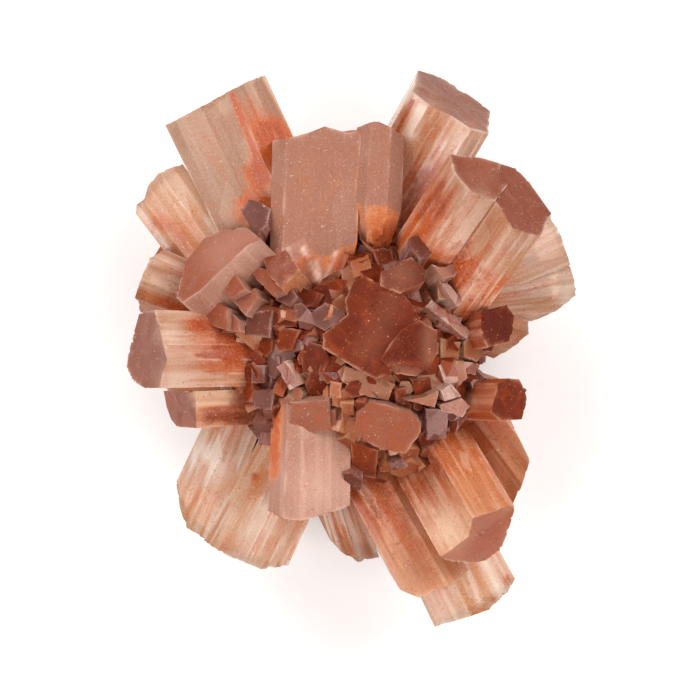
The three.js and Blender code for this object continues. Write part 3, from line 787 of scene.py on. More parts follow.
FINISHES = {finish.kind: finish for finish in (
    # Matte and dusty pink, with the grain of unglazed clay and no light inside.
    Aragonite(
        PINK, side="#90604E", warm="#CA7A48", pale="#E6C0AE", end="#86442E", rust="#A84412",
        warmth=0.02, clear=0.0, sugary=0.22, roughness=0.45, edge_highlight_and_chips=0.4, gloss=0.08, facets=0.0, fracture_glints_and_shade=0.1,
        striated=0.0, blotched=0.5,
    ),
    # Warm orange under a sugary bloom, red-brown ends: the cluster's usual look.
    Aragonite(
        HONEY, side="#BA7850", warm="#C05002", pale="#F8D6BC", end="#7A361C", rust="#A23A06",
        warmth=0.32, clear=0.4, sugary=0.28, tint="#F2A868", density=35.0,
    ),
    # Pale and nearly clear at the tips, with crisp bands along the axis.
    Aragonite(
        CLEAR, side="#CE9268", warm="#CC641C", pale="#FFECDA", end="#743A24", rust="#B0440A",
        warmth=0.2, clear=0.45, sugary=0.26, tint="#F8C090", density=20.0, roughness=0.18,
        striated=0.75,
    ),
    # Iron all through, so that even the sides are a burnt orange.
    Aragonite(
        RUST, side="#CA784A", warm="#B44A12", pale="#F8CCA8", end="#823A20", rust="#8A2C08",
        warmth=0.4, clear=0.3, sugary=0.28, tint="#EC8A4C", density=45.0,
    ),
    # Deep red-brown and dull: the colour of what grows from the middle, and painted shade for what lies in
    # the gaps.
    Aragonite(
        DARK, side="#943C16", warm="#8A2E08", pale="#DCA080", end="#601E08", rust="#480E02",
        warmth=0.5, clear=0.15, sugary=0.1, tint="#C8653A", roughness=0.4, gloss=0.06, facets=0.3,
        blotched=0.6,
    ),
    # Greyed purple-brown with angular patches on the ends, like old glass.
    Aragonite(
        LILAC, side="#784032", warm="#8A3A1A", pale="#D2AAA0", end="#62352A", rust="#5A1C08",
        warmth=0.2, clear=0.1, tint="#C98E78", roughness=0.26, gloss=0.08, facets=0.3,
        fracture_glints_and_shade=0.5, broken=0.5,
    ),
    # Bright, pale and shiny, with angular patches lit up inside.
    Aragonite(
        GLASSY, side="#CC8E72", warm="#B45A34", pale="#FFE2D4", end="#A26A5C", rust="#8A3410",
        warmth=0.2, clear=0.4, sugary=0.2, tint="#F8C090", density=20.0, roughness=0.14, edge_highlight_and_chips=0.8,
        gloss=0.25, fracture_glints_and_shade=0.7, broken=0.6,
    ),
    # Light brown and partly clear, with orange where the iron has got in.
    Aragonite(
        TAWNY, side="#A4765A", warm="#CC5E0A", pale="#E8C4AA", end="#9C5838", rust="#B64600",
        warmth=0.12, clear=0.35, sugary=0.3, tint="#F2A868", density=35.0, roughness=0.2, edge_highlight_and_chips=0.8,
        facets=0.1, fracture_glints_and_shade=0.15, striated=0.25,
    ),
)}


@dataclass(frozen=True)
class Lying:
    """A crystal that lies nearly level, by the upper edge of its end.

    Attributes:
        name: The piece's name.
        heading: Where it points, in degrees from +X as seen from above.
        lean: How far it rises outwards, in degrees.
        length: From its tip back.
        deep: Its thickness from the top down.
        root: The width of its inner end as a share of the outer.
        edge: The upper edge of its end, left to right looking out.
        kind: Its finish.
        stripe: The height of the steps along its sides.
        marks: The stains on it.
        fibre: How fibrous it looks, from 0 to 1.
        broken: How far back its sides end in a fracture.
    """

    name: str
    heading: float
    lean: float
    length: float
    deep: float
    root: float
    edge: tuple[Place, ...]
    kind: Kind = HONEY
    stripe: float = 0.05
    marks: tuple[Mark, ...] = ()
    fibre: float = 0.3
    broken: float = UNBROKEN

    SQUARE = 0.45
    UNDERSIDE = 0.6

    def crystal(self) -> Crystal:
        """Sets the crystal out in its own frame.

        Returns:
            The prism under the edge, whose end is cut upright where the crystal rises outwards.
        """
        axes = axes_of(self.heading, self.lean)
        corners = np.array(self.edge)
        tip = (corners[0] + corners[-1]) / 2
        local = (corners - tip) @ axes.T
        middle = (local[0, 1] + local[-1, 1]) / 2 - self.deep / 2
        tops = np.column_stack([local[:, 0], local[:, 1] - middle])
        left, right = tops[0], tops[-1]
        square = self.deep * self.SQUARE
        section = np.vstack([
            tops,
            [right[0], right[1] - square],
            [right[0] * self.UNDERSIDE, -self.deep / 2],
            [left[0] * self.UNDERSIDE, -self.deep / 2],
            [left[0], left[1] - square],
        ])
        return Crystal(
            tip=tip + axes[1] * middle, axes=axes, section=section, length=self.length, root=self.root,
            kind=self.kind, ends=local[:, [0, 2]], undercut=math.tan(math.radians(max(self.lean, 0))),
            tops=tops, stripe=self.stripe, fibre=self.fibre, marks=self.marks, broken=self.broken,
        )


@dataclass(frozen=True)
class Rising:
    """A crystal that rises towards the viewer, by its end face.

    Attributes:
        name: The piece's name.
        heading: Where it points, in degrees from +X as seen from above.
        lean: How far it rises, in degrees.
        height: The height of the middle of its end face.
        length: From its tip back.
        root: The width of its inner end as a share of the outer.
        face: The corners of its end face as seen from above.
        kind: Its finish.
        stripe: The height of the steps along its sides.
        chip: How deep its rim is chipped.
        marks: The stains on it.
        fibre: How fibrous it looks, from 0 to 1.
    """

    name: str
    heading: float
    lean: float
    height: float
    length: float
    root: float
    face: tuple[Corner, ...]
    kind: Kind = HONEY
    stripe: float = 0.04
    chip: float = 0.25
    marks: tuple[Mark, ...] = ()
    fibre: float = 0.3

    def crystal(self) -> Crystal:
        """Sets the crystal out in its own frame, its end face square to the axis."""
        axes = axes_of(self.heading, self.lean)
        corners = np.array(self.face)
        middle = corners.mean(0)
        away = corners - middle
        h = math.radians(self.heading)
        out = away @ np.array([math.cos(h), math.sin(h)])
        section = np.column_stack([away @ axes[0, :2], -out / math.sin(math.radians(self.lean))])
        return Crystal(
            tip=np.array([*middle, self.height]), axes=axes, section=section, length=self.length,
            root=self.root, kind=self.kind, stripe=self.stripe, chip=self.chip, fibre=self.fibre,
            marks=self.marks,
        )


# The crystals of the rim and the sides, which lie nearly level.
LYING = (
    Lying("upper_left_block", 115.5, -3, 22, 8, 0.95, ((-18.7, 22.4, 17.6), (-12.1, 25.8, 20.2),
        (-10.2, 26.8, 19.6), (-8.7, 27.4, 17.8)), TAWNY, 0.02, marks=(Mark(-8, 21.4, 1.5, strength=2),
        Mark(-9, 17.6, 1.4, strength=2.2), Mark(-9.6, 14, 1.6, strength=2),
        Mark(-12, 25.4, 0.25, RUSTY, 1.9, (-9.4, 19)), Mark(-8.7, 27.2, 0.25, MILKY_AND_PAINTED_LIGHT, 2, (-5.4, 21)),
        Mark(-10.4, 24.4, 1.6, strength=0.7, to=(-8.6, 19)), Mark(-12.9, 24.2, 0.9, MILKY_AND_PAINTED_LIGHT, 0.5)),
        fibre=0.0),
    Lying("left_lobe", 125.6, -5, 18, 7, 0.85, ((-21.7, 13.6, 15.2), (-21.6, 14.5, 15.8),
        (-20.9, 14.9, 16.6), (-20.4, 16.4, 17), (-19.3, 17.8, 17.4), (-17, 18.6, 17)), CLEAR, 0.04,
        (Mark(-17.2, 10.9, 3), Mark(-19.6, 12.6, 1.2), Mark(-17.6, 16, 2.4, MILKY_AND_PAINTED_LIGHT, 0.35),
        Mark(-21.4, 14, 0.35, MILKY_AND_PAINTED_LIGHT, 1, (-18.4, 10)))),
    Lying("small_left_crystal", 158, 8, 14, 6, 0.85, ((-21.2, 3.7, 16), (-21.7, 5.1, 18), (-21.1, 7, 19),
        (-20.2, 9.1, 19), (-18.8, 10, 17.5)), HONEY,
        marks=(Mark(-21, 7.2, 0.9, MILKY_AND_PAINTED_LIGHT, 0.8, (-16.8, 5.6)),
        Mark(-19.6, 9.2, 0.5, MILKY_AND_PAINTED_LIGHT, 0.9, (-16.6, 8)), Mark(-18.6, 4.6, 1.4, strength=0.8, to=(-16, 4))),
        fibre=0.5),
    Lying("lower_left_fan", 243, -6, 20, 8, 0.85, ((-6.5, -21.9, 13.6), (-9.2, -22.1, 15.4),
        (-12, -21, 15.8), (-15, -19.4, 14.6)), CLEAR, 0.1, fibre=0.5,
        marks=(Mark(-13.6, -16, 2.2, MILKY_AND_PAINTED_LIGHT, 0.5), Mark(-8.4, -6.5, 1.6), Mark(-9.4, -19, 3, MILKY_AND_PAINTED_LIGHT, 0.3),
        Mark(-10.6, -8, 0.45, MILKY_AND_PAINTED_LIGHT, 1, (-14.6, -17)), Mark(-9.6, -9, 0.3, RUSTY, 1, (-12.8, -15)),
        Mark(-9.8, -12.9, 0.3, RUSTY, 2.5))),
    Lying("lower_left_fan_outer_blades", 247, -6, 17, 6, 0.8, ((-13.6, -19.6, 14.8),
        (-16.6, -18.1, 14.6), (-17.4, -15.6, 13.8), (-17.7, -13.4, 12.4)), CLEAR, 0.1, fibre=0.6,
        marks=(Mark(-14.6, -11, 2.2, MILKY_AND_PAINTED_LIGHT, 1.6), Mark(-12, -7, 0.4, MILKY_AND_PAINTED_LIGHT, 0.9, (-16.4, -15)))),
    Lying("front_block", 268.5, 1, 15, 8, 0.95, ((-0.2, -15.6, 23), (-2.2, -16.3, 24),
        (-5.2, -17.1, 24.2), (-6.8, -16.9, 23.8), (-8.4, -16.1, 21.2)), PINK, 0.01,
        marks=(Mark(-7.8, -5.6, 0.9, RUSTY, 1.8, (-7.8, -12.4)), Mark(-3.4, -13.6, 4, MILKY_AND_PAINTED_LIGHT, 0.35),
        Mark(-4, -6.6, 1.6, MILKY_AND_PAINTED_LIGHT, 0.4))),
    Lying("narrow_blades", 288, -8, 16, 6, 0.85, ((2.8, -21.1, 12.6), (0.6, -21.4, 13.8),
        (-1.1, -20.4, 14), (-2.2, -19.2, 13.4), (-3.4, -16.9, 12.4)), CLEAR, 0.1, fibre=0.9,
        marks=(Mark(-0.8, -16, 0.5, MILKY_AND_PAINTED_LIGHT, 1.1, (0.8, -21)),
        Mark(-2.2, -16, 0.4, RUSTY, 1.2, (-1, -20.6)), Mark(1.2, -16.4, 0.3, MILKY_AND_PAINTED_LIGHT, 1, (2.6, -21)))),
    Lying("long_lower_block", 299.5, 3, 23, 8, 0.85, ((11.8, -22.2, 16.6), (9.8, -23.8, 18.6),
        (6.6, -24.9, 19.2), (4.8, -24.1, 18.2), (3.6, -22.1, 16.6)), RUST),
    Lying("lowest_block", 297, -7, 24, 7, 0.85, ((16.4, -23.1, 13.2), (15.5, -24.6, 14.8),
        (13.8, -26.2, 15.2), (10.8, -27.2, 15.2), (8.3, -27.9, 14.2)), CLEAR,
        marks=(Mark(15.6, -23.2, 0.7, strength=1.6), Mark(14.2, -25.1, 0.6, strength=1.6),
        Mark(12.8, -20.4, 0.45, MILKY_AND_PAINTED_LIGHT, 1, (14.8, -24.4)),
        Mark(11.4, -21.4, 0.3, MILKY_AND_PAINTED_LIGHT, 0.9, (12.8, -25.6)))),
    Lying("right_lower_blade", 307, 4, 18, 6.5, 0.9, ((16, -7.3, 16.6), (16.8, -9.1, 18),
        (17.8, -11.1, 18.2), (17, -13.6, 17.8), (16.2, -15.6, 16.4)), RUST),
    Lying("right_blade", 343, 2, 14, 5, 0.85, ((17.8, 2.9, 17.4), (17.9, 1.5, 18.4), (16.3, 0.3, 17.6),
        (14.4, -1, 16.4))),
    Lying("right_fan_upper_blades", 28, 1, 17, 7, 0.5, ((18.4, 15.2, 18), (19.9, 13.3, 20.4),
        (20.9, 11.2, 20.6), (21.8, 8.4, 19.8)), CLEAR, 0.1, fibre=0.3,
        # Its wide milky mark is painted light that lifts blades lying in shade.
        marks=(Mark(18, 10, 4, MILKY_AND_PAINTED_LIGHT, 0.6), Mark(14, 8, 0.6, MILKY_AND_PAINTED_LIGHT, 0.7, (21, 12.4)))),
    Lying("right_fan_lower_blades", 8, -1, 16, 7, 0.5, ((21.4, 9.4, 19), (22.2, 6.8, 19.8),
        (22.5, 5.4, 19.2), (20.4, 3.7, 18.2), (18.2, 2.8, 17)), CLEAR, 0.1, fibre=0.4,
        # Its wide milky streak is painted light that lifts blades lying in shade.
        marks=(Mark(13.4, 4.6, 0.55, RUSTY, 1, (19.6, 6.6)), Mark(15, 7.4, 2.2, MILKY_AND_PAINTED_LIGHT, 0.6, (22, 8.2)),
        Mark(21.4, 5.2, 0.9, MILKY_AND_PAINTED_LIGHT))),
    Lying("top_block_left_half", 88.3, 9, 20, 9, 0.98, ((-7.9, 20.7, 23.6), (-6.6, 20.9, 24.8),
        (-4.2, 21.5, 25), (-2.7, 22.1, 25.2), (-0.7, 21.5, 25.2), (0.9, 21.8, 24.9)), PINK, 0.01,
        (Mark(-0.8, 8.4, 1.6, strength=1.1), Mark(0.8, 21.4, 0.25, RUSTY, 0.9, (0.5, 10)),
        # The four thin milky streaks that follow are painted glints on the fracture at the root.
        Mark(-4.9, 10, 0.2, MILKY_AND_PAINTED_LIGHT, 1.2, (-3.4, 7)), Mark(-2.6, 7, 0.25, MILKY_AND_PAINTED_LIGHT, 1.3, (-1.6, 9.4)),
        Mark(-6.4, 9.8, 0.25, MILKY_AND_PAINTED_LIGHT, 0.8, (-5.4, 7.6)), Mark(-3.6, 8.6, 0.25, MILKY_AND_PAINTED_LIGHT, 1, (-3, 6.4)),
        Mark(-5, 9, 1.6, strength=0.6)), 0.0, 12.2),
    Lying("top_block_right_half", 87, 9, 19, 8, 1.1, ((0.5, 22, 24.6), (1.8, 22.5, 25.5),
        (2.6, 22.6, 25.6), (3.9, 22, 25.3), (5.2, 21.1, 23.6)), PINK, 0.012,
        (Mark(3.6, 11.2, 1.8, strength=0.8), Mark(5.4, 16, 1.2, strength=0.6)), 0.0, 7.5),
)

# The crystals and plates whose end faces one looks down on.
RISING = (
    Rising("left_six_sided_crystal", 180, 30, 23, 17, 0.9, ((-21.2, 3.5), (-19.6, 3.9), (-18.9, 1.4),
        (-18.3, -1.1), (-18.7, -2.3), (-19, -3.9), (-20.6, -3.9), (-21.9, -3.2), (-22.5, -1.8),
        (-22.3, -0.3)), marks=(Mark(-18, 1.7, 1.3, MILKY_AND_PAINTED_LIGHT, 0.7), Mark(-17.3, -3.1, 1.6, MILKY_AND_PAINTED_LIGHT),
        Mark(-15.2, 2.6, 1.1, strength=1.2), Mark(-13.2, 0.1, 0.35, RUSTY, 3),
        Mark(-13, 2.2, 2.4, strength=1.2), Mark(-11.4, 0, 2, strength=1.8),
        Mark(-15.5, -0.6, 0.35, strength=1.4, to=(-12.5, -0.8)))),
    Rising("crystal_under_it", 183, 25, 17, 14, 0.9, ((-18.9, -4.2), (-15.5, -4.2), (-15.5, -7.9),
        (-17.5, -7.8), (-18.1, -7.1), (-18.6, -5.8)), RUST,
        marks=(Mark(-15.3, -4.4, 0.8, MILKY_AND_PAINTED_LIGHT, 1.4, (-12.8, -4.2)),
        Mark(-14.4, -6.8, 0.9, strength=1.6, to=(-11, -7)),
        Mark(-15.6, -5.6, 0.3, MILKY_AND_PAINTED_LIGHT, 0.8, (-12.4, -5.4)))),
    Rising("left_inner_crystal", 135, 38, 22.2, 12, 0.95, ((-17.5, 5.1), (-17.2, 6.4), (-16.6, 8.7),
        (-14.7, 11.1), (-12.7, 12), (-10.5, 12.1), (-9, 10.9), (-10.2, 10.4), (-12.4, 8.4), (-15.2, 5.7),
        (-16.9, 4.6)), PINK, marks=(Mark(-13, 9.6, 2.4, MILKY_AND_PAINTED_LIGHT, 0.35, (-11, 11.4)),)),
    Rising("upper_right_crystal", 60, 28, 22, 21, 0.95, ((6.6, 27.8), (5.9, 25.6), (7.6, 24.2), (10, 23),
        (11.8, 21.8), (13.6, 21.4), (13.8, 23.7), (12.6, 24.7), (10.1, 26.4), (8.8, 27.2)), CLEAR, 0.06,
        # Its near-white milky streaks are painted highlights on its glassy sides.
        marks=(Mark(7.3, 16.9, 2, strength=1.6), Mark(5.9, 27, 0.6, MILKY_AND_PAINTED_LIGHT, 1.3, (3, 22.4)),
        Mark(6, 24.6, 0.3, RUSTY, 2.2, (3.9, 20.4)), Mark(7, 23.8, 0.55, MILKY_AND_PAINTED_LIGHT, 1.6, (6, 21.4)),
        Mark(8.6, 23.4, 0.2, RUSTY, 1.3, (6.4, 18.6)), Mark(9.9, 22.6, 0.2, RUSTY, 1.1, (8, 19)),
        Mark(11.4, 21, 0.45, MILKY_AND_PAINTED_LIGHT, 1.8, (10.2, 18.8)), Mark(10.6, 20.6, 0.2, RUSTY, 1.2, (9.6, 18.6)),
        Mark(12.8, 20.6, 0.25, MILKY_AND_PAINTED_LIGHT, 1.3, (11.6, 18.6))), fibre=0.7),
    Rising("largest_crystal_left_part", 56, 44, 30.4, 19, 0.9, ((9.6, 19.3), (12.9, 18.9), (14.6, 18.4),
        (15.4, 16.2), (14.1, 14.6), (11.8, 15.4), (10.6, 16.7), (10, 17.6)),
        marks=(Mark(9.4, 17, 0.35, RUSTY, 1.3, (6.6, 13)), Mark(8.6, 14.4, 1.8),
        Mark(10.4, 16.2, 0.3, RUSTY, 1, (7.4, 11.6)), Mark(12.2, 14, 1.3, MILKY_AND_PAINTED_LIGHT, 0.8, (10, 10.6))),
        fibre=0.6),
    Rising("largest_crystal_right_part", 56, 44, 30, 19, 0.9, ((13.4, 18.7), (16.2, 17.9), (17.5, 16.6),
        (19.7, 13.4), (18.5, 11), (15.8, 11.9), (15.1, 13.1), (13.9, 14.8)), HONEY,
        marks=(Mark(11.6, 7, 2.8), Mark(15.4, 10.6, 1.1, MILKY_AND_PAINTED_LIGHT, 0.5, (11.6, 5.4)),
        Mark(13, 12.6, 0.3, RUSTY, 0.7, (9, 6.4))), fibre=0.5),
    Rising("lower_right_orange_crystal", 300, 32, 22.4, 18, 0.95, ((8.8, -20.7), (11.6, -18.6),
        (11.9, -16.7), (15.6, -15.6), (16.2, -15.7), (15.6, -18.1), (14.8, -20.1), (13.3, -21.1),
        (11.8, -21.4), (9.5, -21.1)), RUST, marks=(Mark(9.5, -18, 1.8, MILKY_AND_PAINTED_LIGHT), Mark(9, -12, 3),
        Mark(13.2, -18.6, 3, strength=0.8)), fibre=0.5),
    Rising("right_dark_crystal", 0, 50, 22.6, 12, 0.9, ((14.5, -3.4), (15.6, -2.9), (16.6, -3),
        (17.4, -4.1), (17.4, -5.3), (16.9, -7), (14.8, -7.2), (13.8, -6.3)), DARK),
    Rising("right_darkest_crystal", 12, 58, 23.4, 11, 0.9, ((12.8, 3.8), (15.4, 4.4), (16.1, 3.3),
        (16, 1.9), (15.7, 0.8), (13.5, 0.1), (12.8, 1.4)), DARK,
        marks=(Mark(14.4, 2.2, 2.6, strength=0.9),)),
    Rising("grey_crystal", 120, 62, 22.6, 8, 0.85, ((-11.2, 13.9), (-10.2, 14.9), (-9, 14.6),
        (-8.1, 13.9), (-8.4, 12.4), (-9.4, 11.4)), LILAC),
    Rising("middle_plate", 100, 80, 27.4, 9, 0.8, ((0.2, 6.7), (1.3, 7.2), (2.8, 6.5), (4.8, 5.7),
        (5.8, 4.6), (6.8, 3.1), (5.4, 1.2), (4.6, -0.6), (3.8, -2.5), (2.3, -3), (-0.2, -1.6),
        (-2.9, 0.1), (-2.9, 1.5), (-0.5, 3.4), (-0.7, 4.9)), DARK,
        marks=(Mark(1.4, -0.2, 1.4, MILKY_AND_PAINTED_LIGHT, 0.12, (4, 5)), Mark(3.2, 2.6, 1, strength=0.5))),
    Rising("plate_to_its_right", -20, 76, 27.8, 9, 0.8, ((3.7, 0.4), (5, 1.9), (6.7, 2.9), (8.4, 1.8),
        (8.5, -0.1), (7.9, -1.6), (6.3, -2.7), (4.4, -2.5), (2.9, -1.1)), DARK,
        marks=(Mark(5.4, 0.9, 0.9, strength=0.7), Mark(6.6, -0.5, 1.1, strength=0.6),
        Mark(4.5, -1, 0.8, strength=0.6), Mark(7.6, 1.4, 0.8, MILKY_AND_PAINTED_LIGHT, 0.3, (7.6, -1)),
        Mark(3.8, -1.8, 0.5, MILKY_AND_PAINTED_LIGHT, 0.3, (6.3, -2.4)))),
    Rising("plate_above_it", 65, 70, 26.6, 9, 0.8, ((2.9, 7.7), (4, 8), (4.7, 8.7), (5.9, 9.1),
        (7.3, 7.8), (7.2, 6.7), (5.9, 6.1), (4.8, 5.5), (2.8, 6.3)), DARK,
        marks=(Mark(4.8, 7.4, 1.8, MILKY_AND_PAINTED_LIGHT, 0.3),)),
    Rising("lower_plate", -78, 68, 25.6, 9, 0.8, ((1.8, -5.3), (3.3, -5.5), (5.9, -6.4), (6.8, -7.3),
        (6.8, -8.4), (5.3, -10.4), (2.8, -10), (1.3, -9.1), (0.3, -7.9), (0.4, -6.6)), PINK),
)

# End faces in the mound: how far each stands out of the mound, its finish and its corners from above.
MOUND_FACES = (
    (4.6, PINK, ((-13.9, 7.2), (-12.2, 8.4), (-10.5, 5.9), (-12.2, 5.1))),
    (2.2, PINK, ((-12.1, 5), (-9.6, 6.1), (-9.3, 5.2), (-10.6, 3.3))),
    (4.6, PINK, ((-16.4, 4.4), (-15.2, 5.6), (-12.4, 4.1), (-12.4, 1.8), (-15.2, 2.8))),
    (2.2, PINK, ((-12.4, 4.1), (-11.2, 2.9), (-11.2, 1.7), (-13, 1.6))),
    (1.8, PINK, ((-10.3, 7.7), (-9.6, 8.2), (-8.6, 8), (-6.8, 5.7), (-7.9, 5.3))),
    (0, LILAC, ((-7.6, 4.9), (-6.2, 6.4), (-5.4, 5.2), (-6.2, 4.2))),
    (-0.2, LILAC, ((-5.8, 4.4), (-5, 4.6), (-3.2, 2.7), (-4.2, 1.9), (-5.2, 2.1))),
    (0, LILAC, ((-4, 3.7), (-2.7, 4.6), (-0.7, 3.7), (-0.7, 3.1), (-2.7, 1.8), (-3.8, 2.4))),
    (0.2, LILAC, ((-10.5, 3.6), (-8, 3.9), (-8.2, 1.1), (-10.7, 1.4))),
    (-0.6, DARK, ((-8, 3.9), (-5.5, 3.7), (-5.5, 2.2), (-8, 2.2))),
    (0.1, DARK, ((-7.7, 0.8), (-7, 1.9), (-6.1, 2.1), (-5.2, 1.9), (-6.1, -0.1), (-7.3, -0.3))),
    (0.1, GLASSY, ((-7.5, -1.8), (-6.7, -1.2), (-6.2, -1.6), (-5.2, -3.6), (-6.2, -4.1))),
    (-0.3, LILAC, ((-10, -1.6), (-8.7, -1.6), (-8.7, -3.4), (-10, -3.4))),
    (-0.3, LILAC, ((-10, -4.1), (-7.7, -4.1), (-8, -6.1), (-9.7, -5.9))),
    (-0.4, LILAC, ((-3.4, -2.3), (-1.2, -2.3), (-1.4, -3.1), (-3.2, -3.2))),
    (-0.2, RUST, ((-2.2, -3.2), (-1, -3.4), (-1.1, -4.8), (-2.2, -4.9))),
    (2.8, LILAC, ((-0.9, -12.4), (0, -12.4), (1.1, -13.1), (0.8, -14.1), (-0.7, -13.8))),
    (0.2, LILAC, ((3.5, -11.3), (5, -11), (5.6, -11.7), (4.1, -12.1))),
    (-0.2, RUST, ((-1.2, -5.3), (0.2, -5.3), (0.2, -6.6), (-1, -6.4))),
    (4.4, LILAC, ((5.7, 11.2), (6.8, 11.3), (8.6, 10.2), (7.9, 9.5), (6.8, 8.9), (5.8, 10.1))),
    (3.4, GLASSY, ((7.9, 8.4), (8.8, 8.1), (10.1, 8.5), (10.5, 7.9), (10.3, 7.3), (9.5, 7), (8.8, 7.3))),
    (0, GLASSY, ((10.8, -1.2), (12.5, -1.4), (12.3, -2.6), (10.9, -2.4))),
    (0, LILAC, ((11.6, 5.1), (12.7, 4.9), (12.6, 2.4), (11.7, 2.7))),
    (2, GLASSY, ((7.8, 8.1), (8.5, 7.8), (11.1, 4.7), (10.4, 4.2))),
    (0.2, GLASSY, ((7.3, 4.2), (7.9, 4.9), (12, 1.7), (11.4, 1))),
    (0.2, TAWNY, ((11.2, 0.8), (11.8, 1.3), (12.8, 0.7), (13.2, -0.6), (12.4, -1.3), (11.1, -0.8))),
    (0.4, TAWNY, ((5.3, -5.1), (7.3, -4.7), (8.7, -4.1), (8.2, -5.8))),
    (0.9, GLASSY, ((8.8, -4.1), (9.9, -3.5), (10.9, -4.7), (9.2, -5.2))),
    (0.3, GLASSY, ((8.7, -5.5), (10.9, -4.9), (11.8, -5.7), (11, -6.8), (8.9, -6.2))),
    (0.1, LILAC, ((7.3, -5.9), (9.6, -6.1), (9.4, -8.9), (7.5, -9.1))),
    (-0.6, TAWNY, ((-0.7, -1.7), (2.8, -2.9), (4.3, -3.5), (3.6, -5.1), (0.8, -4.6), (-1, -3.1))),
    (-0.5, DARK, ((-5.2, 0.9), (-3, 0.4), (-2.2, -1.1), (-3, -2.6), (-4.9, -2.3))),
    (0.2, DARK, ((-0.1, -9.2), (2.6, -10.1), (2.4, -12.9), (0, -12.5))),
    (2.2, RUST, ((-9, 9.9), (-6.7, 10.1), (-5.2, 7.9), (-7, 5.9), (-8.4, 7.4))),
    (0.2, PINK, ((-6.2, -5.3), (-2.4, -5.1), (-2.2, -8.1), (-6.4, -8.8))),
    (-0.3, PINK, ((-2.4, -6.1), (-1.7, -6.1), (-1.6, -8.3), (-2.4, -8.1))),
    (-0.4, DARK, ((4.3, -3.8), (5.4, -3.9), (5.3, -5.5), (4.4, -5.6))),
    (-0.2, DARK, ((2, 9.9), (3.8, 10.1), (4.3, 8.7), (2.8, 7.9))),
    (-0.3, RUST, ((-0.2, 8.7), (1.6, 9.4), (2, 7.9), (0.3, 7.1))),
    (1, TAWNY, ((8.4, 6.9), (9.8, 6.4), (10, 4.9), (8.6, 4.9))),
    (-0.5, GLASSY, ((8.8, 3.9), (11, 3.1), (10.3, 1.4), (8.6, 2.4))),
    (-0.4, TAWNY, ((8.8, 1.1), (10.8, 0.7), (10.6, -1.1), (8.8, -1.3))),
    (-0.3, GLASSY, ((8.6, -1.6), (10.4, -1.4), (11, -3.1), (9.3, -3.6))),
    (-0.2, GLASSY, ((11.8, -3.1), (13.8, -2.9), (14, -4.6), (12.3, -5.1))),
    (-1.6, DARK, ((-5.6, 6.4), (-2.8, 5.4), (-3.6, 4), (-5.2, 4.4))),
    (-0.5, DARK, ((6, -3.1), (7.8, -2.9), (8, -4.5), (6.3, -4.7))),
)


@dataclass
class LargeCrystals:
    """The crystals that the eye picks out one by one, each a piece of its own."""

    spacing: float = 0.22
    seed: int = 7

    def build(self) -> list[bpy.types.Object]:
        """Builds and dresses each large crystal.

        Returns:
            The pieces.
        """
        pieces = []
        for number, plan in enumerate((*LYING, *RISING)):
            rng = np.random.default_rng(self.seed + number)
            crystal = plan.crystal()
            surface = crystal_surface(crystal, rng, self.spacing)
            owners = np.zeros(len(surface.points), int)
            pieces.append(to_object(plan.name, surface, [crystal.kind], owners))
        return pieces


@dataclass
class SmallCrystals:
    """A crowd of small crystals as one piece, with a material slot for each finish."""

    name: str
    crystals: list[Crystal] = field(default_factory=list)
    spacing: float = 0.28
    seed: int = 101

    def build(self) -> list[bpy.types.Object]:
        """Builds all the crystals and joins them.

        Returns:
            The one piece.
        """
        surfaces = []
        for number, crystal in enumerate(self.crystals):
            rng = np.random.default_rng(self.seed + number)
            surfaces.append(crystal_surface(crystal, rng, self.spacing))
        kinds = list(Kind)
        owners = np.concatenate([
            np.full(len(s.points), kinds.index(c.kind)) for s, c in zip(surfaces, self.crystals)
        ])
        return [to_object(self.name, merged(surfaces), kinds, owners)]


def mound_crystals() -> list[Crystal]:
    """The small crystals of the mound, which point away from the heart and show their end faces."""
    made = []
    for up, kind, face in MOUND_FACES:
        middle = np.array(face).mean(0)
        height = MOUND_TOP - MOUND_FALL * float(((middle - MOUND_MIDDLE) ** 2).sum()) + up
        heading, lean = outwards(np.array([*middle, height]))
        plan = Rising("", heading, max(lean, MOUND_LEAN), height, 6.5, 0.85, face, kind, 0.05, 0.2)
        made.append(replace(plan.crystal(), root_tint_and_shade=3.0, rim=0.7))
    return made


